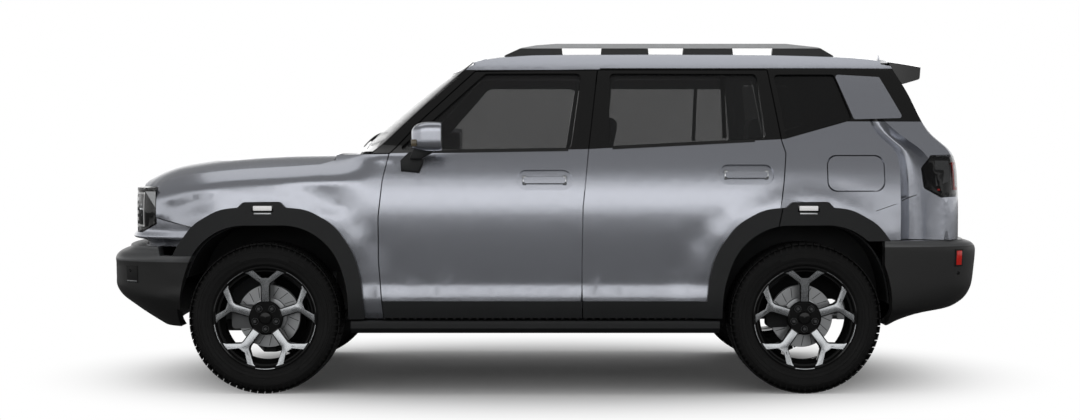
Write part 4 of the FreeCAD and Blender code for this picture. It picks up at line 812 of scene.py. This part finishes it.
# %% Machined face
turned = Finish("machined_face", Metallic=1.0)
along_car = turned.place("X")
nearer = (along_car - FRONT_AXLE).absolute().both((along_car - REAR_AXLE).absolute())
above_axle = turned.place("Z") - AXLE_HEIGHT
from_centre = (nearer * nearer + above_axle * above_axle).power(0.5)
rings = from_centre.join("SINE", from_centre * 9000.0, None)
turned.set(Base_Color=turned.blend(turned.noise(8.0), grey(0.46, 0.03), grey(0.62, 0.03)))
turned.set(Roughness=rings * 0.04 + turned.noise(25.0) * 0.10 + 0.20)
turned.bump(rings, 0.06, 0.0002)
nut_steel = metal("nut_steel", 0.10, 0.30)

# %% Four wheels
wheel_sets = [(tyre_master, "tyre", tread_rubber, "tyre", 30.0), (black_rim, "rim", gloss, "rim", 30.0),
              (bright_rim, "face", turned, "rim", 25.0), (nuts, "nuts", nut_steel, "rim", 30.0),
              (disc, "disc", steel, "steel", 30.0), (slit, "disc_slits", underseal, "steel", 30.0)]
for end, station in (("front", FRONT_AXLE), ("rear", REAR_AXLE)):
    for side, sign in (("left", 1), ("right", -1)):
        turn = Matrix.Identity(4) if sign > 0 else Matrix.Rotation(math.pi, 4, "Z")
        matrix = Matrix.Translation((station, sign * WHEEL_Y, AXLE_HEIGHT)) @ turn
        for master, part, finish, slot, angle in wheel_sets:
            name = "%s_%s_%s_made" % (part, end, side)
            swaps = ["%s_%s_%s" % (part, end, side)] if part in ("tyre", "rim") else []
            settle(copy_of(master, name, matrix), "wheel_%s_%s" % (end, side), finish, angle, swaps)
for master, *rest in wheel_sets:
    discard(master)
print("wheels placed")

# %% [markdown]
# Small parts sit on curved panels, so their places are found by shining a ray at the CAD skin, as
# a fitter offers a part up to the panel. The rays start beside the car or past its ends, and a
# patch is then a block turned to face the skin's normal.

# %% Fitting helpers
SIDE_START = 2.0
END_START = 4.0
FROM_LEFT = (0, -1, 0)
FROM_FRONT = (-1, 0, 0)
FROM_BEHIND = (1, 0, 0)


def skin(node, origin, way):
    """The point and normal where a ray meets a CAD node."""
    hit, place, normal, _ = nodes[node].ray_cast(Vector(origin), Vector(way))
    assert hit, "no skin on %s from %s" % (node, tuple(origin))
    return place, normal


def facing(place, normal, up=(0, 0, 1)):
    """A matrix whose Z axis is the normal and whose Y axis is as near to up as can be."""
    depth = Vector(normal).normalized()
    wide = Vector(up).cross(depth).normalized()
    high = depth.cross(wide)
    turn = Matrix((wide, high, depth)).transposed().to_4x4()
    return Matrix.Translation(place) @ turn


def patch(name, node, origin, way, width, height, proud, sunk=0.003, bevel=0.002, up=(0, 0, 1)):
    """A bevelled block on a CAD skin: its width, height, and how far it stands proud and is sunk."""
    place, normal = skin(node, origin, way)
    piece = block(name, (-width / 2, -height / 2, -sunk), (width / 2, height / 2, proud), bevel)
    piece.data.transform(facing(place, normal, up))
    return piece


def side_strip(name, node, stations, drop, proud, thick):
    """A strip along (x, z) stations on the left skin of a node, dropping down by its width."""
    upper = []
    lower = []
    for x, z in stations:
        place, _ = skin(node, (x, SIDE_START, z), FROM_LEFT)
        upper.append(place + Vector((0, proud, 0)))
        place, _ = skin(node, (x, SIDE_START, z - drop), FROM_LEFT)
        lower.append(place + Vector((0, proud, 0)))
    return plate(name, upper + lower[::-1], (0, -thick, 0), 0.0)


def steps(low, high, count):
    return [low + (high - low) * i / (count - 1) for i in range(count)]


# %% [markdown]
# Door handles are bright bars that bridge a rounded recess. The recess and the bar's core are in
# the CAD panel. The visible bar is a bevelled block that leans with the door, with a collar at
# each end, because a separate bright cap is how the real handle is made.

# %% Door handles
def lean_top(piece, height, shift):
    with editing(piece):
        pick(piece, "VERT", lambda point: point.co.z > height)
        ops.transform.translate(value=(0, shift, 0))


handle_silver = metal("handle_silver", 0.74, 0.14, spread=0.05)
for door, centre_x, centre_z in (("front", B_SEAM + 0.196, BELT - 0.136),
                                 ("rear", REAR_AXLE + 0.312, BELT - 0.108)):
    node = "door_%s_panel_left" % door
    bar_skin, _ = skin(node, (centre_x, SIDE_START, centre_z), FROM_LEFT)
    outer = bar_skin.y
    bar = block("handle", (centre_x - 0.114, outer - 0.012, centre_z - 0.0165),
                (centre_x + 0.114, outer + 0.0055, centre_z + 0.0175),
                0.0075, 3)
    lean_top(bar, centre_z, -0.0052)
    with editing(bar):
        pick(bar, "VERT", lambda point: abs(point.co.x - centre_x) > 0.10)
        ops.transform.translate(value=(0, -0.004, 0))
    bar.name = "handle_bar_" + door
    pair(bar, "door_%s_SIDE" % door, handle_silver, 40)
    collars = []
    for way in (-1, 1):
        collar = block("collar", (centre_x + way * 0.104 - 0.012, outer - 0.020, centre_z - 0.024),
                       (centre_x + way * 0.104 + 0.012, outer - 0.006, centre_z + 0.024), 0.005)
        lean_top(collar, centre_z, -0.006)
        collars.append(collar)
    pair(merge("handle_collars_" + door, *collars), "door_%s_SIDE" % door, handle_silver, 40)
print("handles fitted")

# %% [markdown]
# Each flare carries a white marker lamp in its raised tab, with a thin bright reflector under it.
# A lamp needs depth to look like one: a pale diffuser standing proud in a dark frame.

# %% Marker lamps
marker_white = Finish("marker_diffuser")
marker_white.set(Base_Color=marker_white.blend(marker_white.noise(200.0), grey(0.72), grey(0.9)))
marker_white.set(Emission_Color=(1, 1, 1, 1), Emission_Strength=0.25,
                 Roughness=marker_white.noise(80.0) * 0.1 + 0.3)
smoked_amber = Finish("smoked_amber")
smoked_amber.set(Base_Color=smoked_amber.blend(smoked_amber.noise(150.0), (0.09, 0.07, 0.045, 1.0),
                                               (0.16, 0.13, 0.08, 1.0)))
smoked_amber.set(Roughness=smoked_amber.noise(60.0) * 0.1 + 0.12)
for end, middle in (("front", 1.4435), ("rear", -1.3650)):
    frame_piece = patch("marker_frame_" + end, "arch_flares", (middle, SIDE_START, 0.969), FROM_LEFT, 0.112,
                        0.038, 0.0025)
    lamp_piece = patch("marker_lamp_" + end, "arch_flares", (middle, SIDE_START, 0.969), FROM_LEFT, 0.096,
                       0.024, 0.0055, bevel=0.003)
    glint = patch("marker_glint_" + end, "arch_flares", (middle, SIDE_START, 0.941), FROM_LEFT, 0.090, 0.010,
                  0.002)
    pair(frame_piece, "chassis", gloss)
    pair(lamp_piece, "chassis", marker_white)
    pair(glint, "chassis", satin)

# %% [markdown]
# The door mirrors are rounded shells on a dark foot. A shell starts as a cube that is extruded,
# tapered by moving its points, and smoothed by a subdivision surface, the quickest way to a form
# that swells evenly. The glass and the turn lamp are set into it.

# %% Door mirrors
MIRROR_X = (0.514, 0.675)
MIRROR_Z = (1.263, 1.413)
shell = block("mirror_shell", (MIRROR_X[0], 0.985, MIRROR_Z[0]), (MIRROR_X[1], 1.135, MIRROR_Z[1]))
with editing(shell):
    everything()
    ops.mesh.subdivide(number_cuts=2)
    pick(shell, "VERT", lambda point: point.co.x > 0.67)
    ops.transform.resize(value=(1, 0.80, 0.72))
    ops.transform.translate(value=(-0.004, 0, -0.010))
    pick(shell, "VERT", lambda point: point.co.y > 1.12)
    ops.transform.resize(value=(0.86, 1, 0.80))
    ops.transform.translate(value=(-0.010, -0.004, 0.004))
    pick(shell, "VERT", lambda point: point.co.y < 0.99)
    ops.transform.resize(value=(0.85, 1, 0.86))
    pick(shell, "FACE", lambda face: face.normal.x < -0.9)
    ops.mesh.inset(thickness=0.010)
    ops.mesh.extrude_region_move(TRANSFORM_OT_translate={"value": (0.012, 0, 0)})
modify(shell, "SUBSURF", levels=2, render_levels=2)
foot = plate("mirror_foot", [(0.735, 0.870, 1.160), (0.640, 0.870, 1.150), (0.618, 0.870, 1.200),
                             (0.612, 0.870, 1.262),
                             (0.690, 0.870, 1.262), (0.738, 0.870, 1.215)], (0, 0.075,
                                                                             0), bevel=0.010, segments=3)
arm = plate("mirror_arm", [(0.686, 0.930, 1.222), (0.622, 0.930, 1.222), (0.560, 0.930, 1.262),
                           (0.560, 0.930, 1.286), (0.660, 0.930, 1.286)],
            (0, 0.085, 0), bevel=0.008, segments=3)
glass_edge = [(0.5235, 1.000, 1.288), (0.5235, 1.118, 1.292), (0.5235, 1.122, 1.384), (0.5235, 1.002, 1.390)]
mirror_pane = plate("mirror_pane", glass_edge, (-0.003, 0, 0), bevel=0.002)
turn_lamp = block("turn_lamp", (0.640, 1.050, 1.286), (0.668, 1.122, 1.322), 0.005)
mirror_glass = metal("mirror_silver", 0.86, 0.02, spread=0.01)
pair(shell, "door_front_SIDE", paint, 60, ["door_mirror_SIDE"])
pair(merge("mirror_foot", foot, arm), "door_front_SIDE", cladding, 40)
pair(mirror_pane, "door_front_SIDE", mirror_glass)
pair(turn_lamp, "door_front_SIDE", smoked_amber)
print("mirrors made")

# %% [markdown]
# The rear door's window has an upright divider with a fixed pane behind it, and a soft black seal
# runs under each side window. Both follow the skin, found by rays at stations along them.

# %% Window seals and divider
divider = []
for z in steps(1.330, 1.664, 8):
    place, _ = skin("door_rear_glass_left", (-0.944, SIDE_START, z), FROM_LEFT)
    divider.append(place)
bar_points = [p + Vector((-0.011, 0.004, 0)) for p in divider] + [p + Vector((0.011, 0.004,
                                                                              0)) for p in divider[::-1]]
divider_bar = plate("window_divider", bar_points, (0, -0.012, 0))
pair(divider_bar, "door_rear_SIDE", gloss)


def belt_seal(name, node, x_from, x_to, z_at, body):
    stations = [(x, z_at(x)) for x in steps(x_from, x_to, 12)]
    strip = side_strip(name, node, stations, 0.012, 0.003, 0.006)
    pair(strip, body, rubber)


belt_seal("belt_seal_front", "door_front_panel_left", 0.66, -0.13, lambda x: 1.2665 + (0.66 - x) * 0.013,
          "door_front_SIDE")
belt_seal("belt_seal_rear", "door_rear_panel_left", -0.36, -1.10, lambda x: 1.2860 + (-0.36 - x) * 0.052,
          "door_rear_SIDE")
print("seals fitted")

# %% [markdown]
# A lamp is a smoked cover over a dark housing. The CAD solid is the cover. The housing is a copy of
# it, shrunk by a few millimetres, so both keep one shape, and the light guides lie between the two.

# %% Lamp housings
red_glow = Finish("red_light_guide")
red_glow.set(Base_Color=red_glow.blend(red_glow.noise(90.0), (0.42, 0.010, 0.008, 1.0),
                                       (0.62, 0.022, 0.014, 1.0)))
red_glow.set(Emission_Color=(0.8, 0.02, 0.01, 1.0), Emission_Strength=0.12,
             Roughness=red_glow.noise(60.0) * 0.1 + 0.15)
reflector_silver = metal("lamp_reflector", 0.62, 0.12, spread=0.06)


def shrunk_copy(node, name, depth):
    """A merged copy of a CAD node with its skin moved inwards."""
    inner = copy_of(nodes[node], name, Matrix.Identity(4))
    with editing(inner):
        weld()
        ops.mesh.normals_make_consistent(inside=False)
        ops.transform.shrink_fatten(value=-depth)
    return inner


settle(shrunk_copy("headlamps", "headlamp_housings", 0.009), "chassis", gloss)
settle(shrunk_copy("tail_lamps", "tail_lamp_housings", 0.012), "chassis", gloss)

# %% [markdown]
# The headlamp holds two square projectors with a slim daytime light round them, and a chrome wedge
# that shows through the cover at its side. The tail lamp has an upright red guide and a clear box.

# %% Lamp internals
def frame_bars(name, node, corners, origin_x, way, width, proud):
    """Slim bars between (y, z) corners, laid on a node seen along X."""
    bars = []
    for (y_from, z_from), (y_to, z_to) in zip(corners, corners[1:]):
        line = []
        for share in steps(0.0, 1.0, 5):
            y, z = y_from + (y_to - y_from) * share, z_from + (z_to - z_from) * share
            place, _ = skin(node, (origin_x, y, z), way)
            line.append(place + Vector(way) * -proud)
        across = (Vector((0, z_to - z_from, y_from - y_to))).normalized() * width
        bars.append(plate("bar", line + [p + across for p in line[::-1]], Vector(way) * 0.004))
    return merge(name, *bars)


drl = frame_bars("daytime_light", "headlamps",
                 [(0.585, 1.046), (0.770, 1.046), (0.770, 0.866), (0.585, 0.866)],
                 END_START, FROM_FRONT, 0.009, -0.003)
pair(drl, "chassis", marker_white)
for number, (y, z) in enumerate(((0.640, 0.955), (0.715, 0.955))):
    place, _ = skin("headlamps", (END_START, y, z), FROM_FRONT)
    eye = lathe("projector", [(0.0, 0.0), (0.018, -0.0015), (0.026, -0.005), (0.028, -0.010), (0.033, -0.004),
                              (0.036, -0.004),
                              (0.036, -0.030), (0.0, -0.030)], 32)
    eye.data.transform(facing(place + Vector((-0.012, 0, 0)), (1, 0, 0)) @ Matrix.Rotation(math.radians(90),
                                                                                           4, "X"))
    eye.name = "projector_%d" % number
    pair(eye, "chassis", reflector_silver)
wedge_points = []
for x, z in ((2.030, 1.052), (2.098, 1.052), (2.030, 0.968)):
    place, normal = skin("headlamps", (x, SIDE_START, z), FROM_LEFT)
    wedge_points.append(place - normal * 0.004)
side_wedge = plate("headlamp_wedge", wedge_points, (0, -0.004, 0))
pair(side_wedge, "chassis", reflector_silver)

red_guide = frame_bars("tail_guide", "tail_lamps",
                       [(0.690, 1.205), (0.820, 1.205), (0.820, 1.060), (0.690, 1.060)],
                       -END_START, FROM_BEHIND, 0.014, -0.004)
pair(red_guide, "chassis", red_glow)
side_box_points = []
for x, z in ((-2.045, 1.215), (-2.120, 1.215), (-2.125, 1.110), (-2.045, 1.080)):
    place, normal = skin("tail_lamps", (x, SIDE_START, z), FROM_LEFT)
    side_box_points.append(place - normal * 0.004)
tail_box = plate("tail_clear_box", side_box_points, (0, -0.003, 0), bevel=0.001)
tail_grey = metal("tail_lamp_grey", 0.16, 0.22)
pair(tail_box, "chassis", tail_grey)
dot = patch("tail_red_dot", "tail_lamps", (-2.058, SIDE_START, 1.062), FROM_LEFT, 0.014, 0.010, -0.001,
            sunk=0.005)
pair(dot, "chassis", red_glow)
print("lamps fitted")

# %% [markdown]
# The bumpers carry dark pockets with parking sensors, and the rear ones hold a red reflector with a painted
# glow.
# Plates stay blank. A pocket is a thin bevelled panel, for its depth is only a few millimetres.

# %% Bumper fittings and blank plates
side_fittings = [
    ("front_pocket", "front_bumper", 2.150, 0.622, 0.080, 0.088, 0.0025, 0.002, rubber, "cladding"),
    ("pocket_lip", "front_bumper", 2.150, 0.583, 0.074, 0.014, 0.0045, 0.003, tail_grey, "cladding"),
    ("rear_pocket", "rear_bumper", -2.168, 0.708, 0.055, 0.092, 0.0025, 0.002, rubber, "cladding"),
    # The reflector shares the light guides' glowing finish, so it glows faintly though it is no lamp: painted
    # light.
    ("rear_reflector", "rear_bumper", -2.166, 0.708, 0.036, 0.074, 0.006, 0.002, red_glow, "lamp"),
]
for name, node, x, z, width, height, proud, bevel, finish, slot in side_fittings:
    pair(patch(name, node, (x, SIDE_START, z), FROM_LEFT, width, height, proud, bevel=bevel), "chassis",
         finish)


def button(name, node, origin, way, radius, proud):
    """A round sensor on a CAD skin."""
    place, normal = skin(node, origin, way)
    disc = lathe(name, [(0.0, proud), (radius * 0.8, proud), (radius, proud * 0.5), (radius, -0.003),
                        (0.0, -0.003)], 24)
    disc.data.transform(facing(place, normal) @ Matrix.Rotation(math.radians(90), 4, "X"))
    return disc


sensors = [button("sensor", "front_bumper", (2.158, SIDE_START, 0.640), FROM_LEFT, 0.009, 0.005),
           button("sensor", "rear_bumper", (-2.166, SIDE_START, 0.628), FROM_LEFT, 0.010, 0.003),
           button("sensor", "rear_bumper", (-END_START, 0.42, 0.600), FROM_BEHIND, 0.010, 0.003),
           button("sensor", "front_bumper", (END_START, 0.42, 0.600), FROM_FRONT, 0.010, 0.003)]
pair(merge("parking_sensors", *sensors), "chassis", gloss)

plate_white = Finish("blank_plate")
plate_white.set(Base_Color=plate_white.blend(plate_white.noise(40.0), grey(0.62), grey(0.72)))
plate_white.set(Roughness=plate_white.noise(90.0) * 0.1 + 0.35)
front_plate = patch("front_plate", "front_bumper", (END_START, 0.0, 0.560), FROM_FRONT, 0.44, 0.14, 0.006,
                    bevel=0.003)
settle(front_plate, "chassis", plate_white)
tail_fittings = [
    ("rear_plate", "tailgate_panel", 0.972, 0.44, 0.12, 0.005, 0.003, plate_white, "cladding"),
    ("plate_lamp", "tailgate_panel", 1.060, 0.30, 0.022, 0.016, 0.004, gloss, "gloss_black"),
    ("high_stop_lamp", "spoiler", 1.700, 0.36, 0.014, 0.003, 0.001, red_glow, "lamp"),
]


def tail_patch(name, node, z, width, height, proud, bevel, finish, slot):
    """A block in the middle of the tail that moves with the tailgate."""
    piece = patch(name, node, (-END_START, 0.0, z), FROM_BEHIND, width, height, proud, bevel=bevel)
    settle(piece, "tailgate", finish)


for row in tail_fittings:
    tail_patch(*row)
print("bumper fittings placed")

# %% [markdown]
# Wiper arms lie on the glass, so each one follows points found by rays from above. The blade is a
# slim rubber strip under a straight arm.

# %% Wipers
def wiper(name, node, pivot, tip, way, origin_of, lift):
    """A wiper from its pivot to its tip over a glass, as a tapered strip with a rubber blade."""
    arm_line = []
    for share in steps(0.0, 1.0, 9):
        start = origin_of(pivot[0] + (tip[0] - pivot[0]) * share, pivot[1] + (tip[1] - pivot[1]) * share)
        place, normal = skin(node, start, way)
        arm_line.append(place + normal * lift)
    spread_way = (arm_line[-1] - arm_line[0]).normalized().cross(normal).normalized()
    out = normal * 0.005
    arm_half = spread_way * 0.007
    arm = plate(name, [p + arm_half for p in arm_line[:7]] + [p - arm_half for p in arm_line[6::-1]],
                out, 0.0015, 1)
    sunk = normal * (lift - 0.001)
    blade_half = spread_way * 0.003
    blade = plate("blade", [p - sunk + blade_half for p in arm_line[2:]]
                  + [p - sunk - blade_half for p in arm_line[:1:-1]], normal * (lift + 0.002))
    return merge(name, arm, blade)


def above(x, y):
    return (x, y, 3.0)


def behind(y, z):
    return (-END_START, y, z)


WIPER_LIFT = 0.010
DOWN = (0, 0, -1)
wipers = [("wiper_left", "windscreen", (0.965, 0.44), (0.905, -0.18), DOWN, above, "chassis"),
          ("wiper_right", "windscreen", (0.985, -0.12), (0.880, -0.70), DOWN, above, "chassis"),
          ("wiper_rear", "tailgate_glass", (0.0, 1.335), (0.330, 1.400), FROM_BEHIND, behind, "tailgate")]
for *shape, body in wipers:
    settle(wiper(*shape, WIPER_LIFT), body, rubber)

# %% [markdown]
# The side step has a raised tread of short ribs on its top, under the doors. The same rib is
# made at stations along the step, as a moulding tool would repeat it.

# %% Step treads
rib_list = []
step_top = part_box("side_steps")[1][2]
for x in steps(-0.78, 0.86, 42):
    rib = block("rib", (x - 0.006, 0.885, step_top - 0.002), (x + 0.006, 0.955, step_top + 0.0025), 0.001, 1)
    rib_list.append(rib)
pair(merge("step_tread", *rib_list), "chassis", rubber)

# %% [markdown]
# The rear corner has a fine shut line that the CAD panel doesn't split. A soft black strip three
# millimetres wide lies in the skin there, as the seal in a real shut line does.

# %% Shut line on the rear corner
def shut_line(name, node, ends, width):
    line = []
    (x_from, z_from), (x_to, z_to) = ends
    for share in steps(0.0, 1.0, 9):
        place, normal = skin(node, (x_from + (x_to - x_from) * share, SIDE_START,
                                    z_from + (z_to - z_from) * share), FROM_LEFT)
        line.append(place + normal * 0.0004)
    low = [p - Vector((0, 0, width)) for p in line]
    return plate(name, line + low[::-1], (0, -0.003, 0))


pair(shut_line("rear_corner_line", "body_side_left", ((-1.960, 1.036), (-1.720, 0.955)), 0.003), "chassis",
     rubber)
print("corner lines laid")

# %% [markdown]
# The tailgate opens by a slim handle above its plate.

# %% Tailgate handle
tail_patch("tailgate_handle", "tailgate_panel", 1.115, 0.62, 0.030, 0.012, 0.006, gloss, "gloss_black")
print("tailgate fitted")

# %% [markdown]
# Seats show dimly through the glass, and fully in the open doors. The CAD seats are plain firm
# shapes. Each is copied, remeshed finely and smoothed, so its edges pull in, and then pushed out a
# few millimetres, so its faces crown as foam under fabric does. Sewn channels are pressed in last.


def swell(piece, voxel, rounding, swelling):
    """Remesh a pad, round its edges off, and push its faces outwards a little."""
    modify(piece, "REMESH", mode="VOXEL", voxel_size=voxel, use_smooth_shade=True)
    modify(piece, "SMOOTH", factor=0.5, iterations=rounding)
    modify(piece, "DISPLACE", strength=swelling, mid_level=0.0)
    print(piece.name, len(piece.data.vertices), "points")


def channel(piece, distance, depth=0.006, half_width=0.007):
    """Press a sewn groove where a distance function is near zero."""
    for point in piece.data.vertices:
        away = distance(point.co)
        if abs(away) < half_width * 2.5:
            point.co -= point.normal * depth * math.exp(-(away / half_width) ** 2)


def seat_pad(name, node, centres):
    pad = copy_of(nodes[node], name, Matrix.Identity(4))
    with editing(pad):
        weld()
    swell(pad, 0.012, 12, 0.004)
    for centre in centres:
        for shift in (-0.135, 0.135):
            channel(pad, lambda co: co.y - centre - shift if abs(co.y - centre) < 0.2 else 1.0)
        channel(pad, lambda co: co.z - 0.95 if abs(co.y - centre) < 0.134 and co.x < 0.1 else 1.0)
    settle(pad, "chassis", cloth, 60, [node])


seat_pad("front_seat_pads", "front_seats", (0.375, -0.375))
seat_pad("rear_seat_pads", "rear_seat", (-0.30, 0.30))
print("seats padded")

# %% [markdown]
# The car stands on a plain pale floor before a white background. A studio's walls glow near the
# horizon and its ceiling is darker, so the paint gets one long bright band and soft dark ends. The
# camera alone sees full white, and the floor fades into it, so no horizon line shows.

# %% Floor
bpy.ops.object.select_all(action="DESELECT")
bpy.ops.mesh.primitive_plane_add(size=80.0, location=(0, 0, 0))
floor = bpy.context.object
floor.name = "studio_floor"
floor_finish = Finish("floor", Roughness=0.9)
floor_finish.set(Base_Color=grey(0.11))
along = floor_finish.place("X")
away = floor_finish.place("Y")
reach = floor_finish.node("Math", {"operation": "SQRT"}, n0=along * along * 0.45 + away * away)
fade = floor_finish.node("MapRange", {"interpolation_type": "SMOOTHSTEP"}, n0=reach, n1=1.0, n2=2.0, n3=0.0,
                         n4=1.0)
seen = floor_finish.node("LightPath", output=0)
pale = floor_finish.node("BsdfDiffuse", Color=grey(0.93))
glow = floor_finish.node("Emission", Color=(1, 1, 1, 1), Strength=1.0)
dark_floor = Wire(floor_finish.tree, floor_finish.shader.outputs[0])
near_floor = floor_finish.node("MixShader", n0=fade, n1=pale, n2=glow)
whole_floor = floor_finish.node("MixShader", n0=seen, n1=dark_floor, n2=near_floor)
output = floor_finish.tree.nodes["Material Output"]
floor_finish.tree.links.new(whole_floor.socket, output.inputs["Surface"])
floor.data.materials.append(floor_finish.material)

# %% Background
world = bpy.data.worlds.new("studio")
bpy.context.scene.world = world
world.use_nodes = True
sky = world.node_tree


def sky_node(kind, *values, **settings):
    node = sky.nodes.new("ShaderNode" + kind)
    for key, value in settings.items():
        setattr(node, key, value)
    for socket, value in zip(node.inputs, values):
        if isinstance(value, bpy.types.NodeSocket):
            sky.links.new(value, socket)
        else:
            socket.default_value = value
    return node.outputs


direction = sky_node("TexCoord")[0]
height = sky_node("SeparateXYZ", direction)[2]
rays = sky_node("LightPath")
wall_glow = sky_node("MapRange", height, 0.05, 0.42, 1.20, 0.26, interpolation_type="SMOOTHSTEP")[0]
reflected = sky_node("MapRange", rays["Is Glossy Ray"], 0.0, 1.0, 0.62, wall_glow)[0]
strength = sky_node("MapRange", rays["Is Camera Ray"], 0.0, 1.0, reflected, 1.0)[0]
background = sky.nodes["Background"]
background.inputs["Color"].default_value = (1, 1, 1, 1)
sky.links.new(strength, background.inputs["Strength"])

# %% [markdown]
# Three broad soft lamps stand in for studio boxes: one overhead for the floor's soft shadow, and
# one on each side, high enough to draw the long highlight on the shoulder.

# %% Lamps
def soft_lamp(name, place, target, size, power):
    data = bpy.data.lights.new(name, "AREA")
    data.shape = "RECTANGLE"
    data.size, data.size_y = size
    data.energy = power
    lamp = bpy.data.objects.new(name, data)
    bpy.context.scene.collection.objects.link(lamp)
    lamp.location = place
    lamp.rotation_euler = (Vector(target) - Vector(place)).to_track_quat("-Z", "Y").to_euler()


soft_lamp("overhead_box", (0, 0, 5.5), (0, 0, 0), (8.0, 4.5), 84)
soft_lamp("side_box", (0.6, 6.8, 2.4), (0, 0.5, 1.2), (8.0, 1.8), 40)
soft_lamp("far_box", (-0.6, -6.8, 2.4), (0, -0.5, 1.2), (8.0, 1.8), 40)
bpy.context.scene.view_settings.view_transform = "Standard"
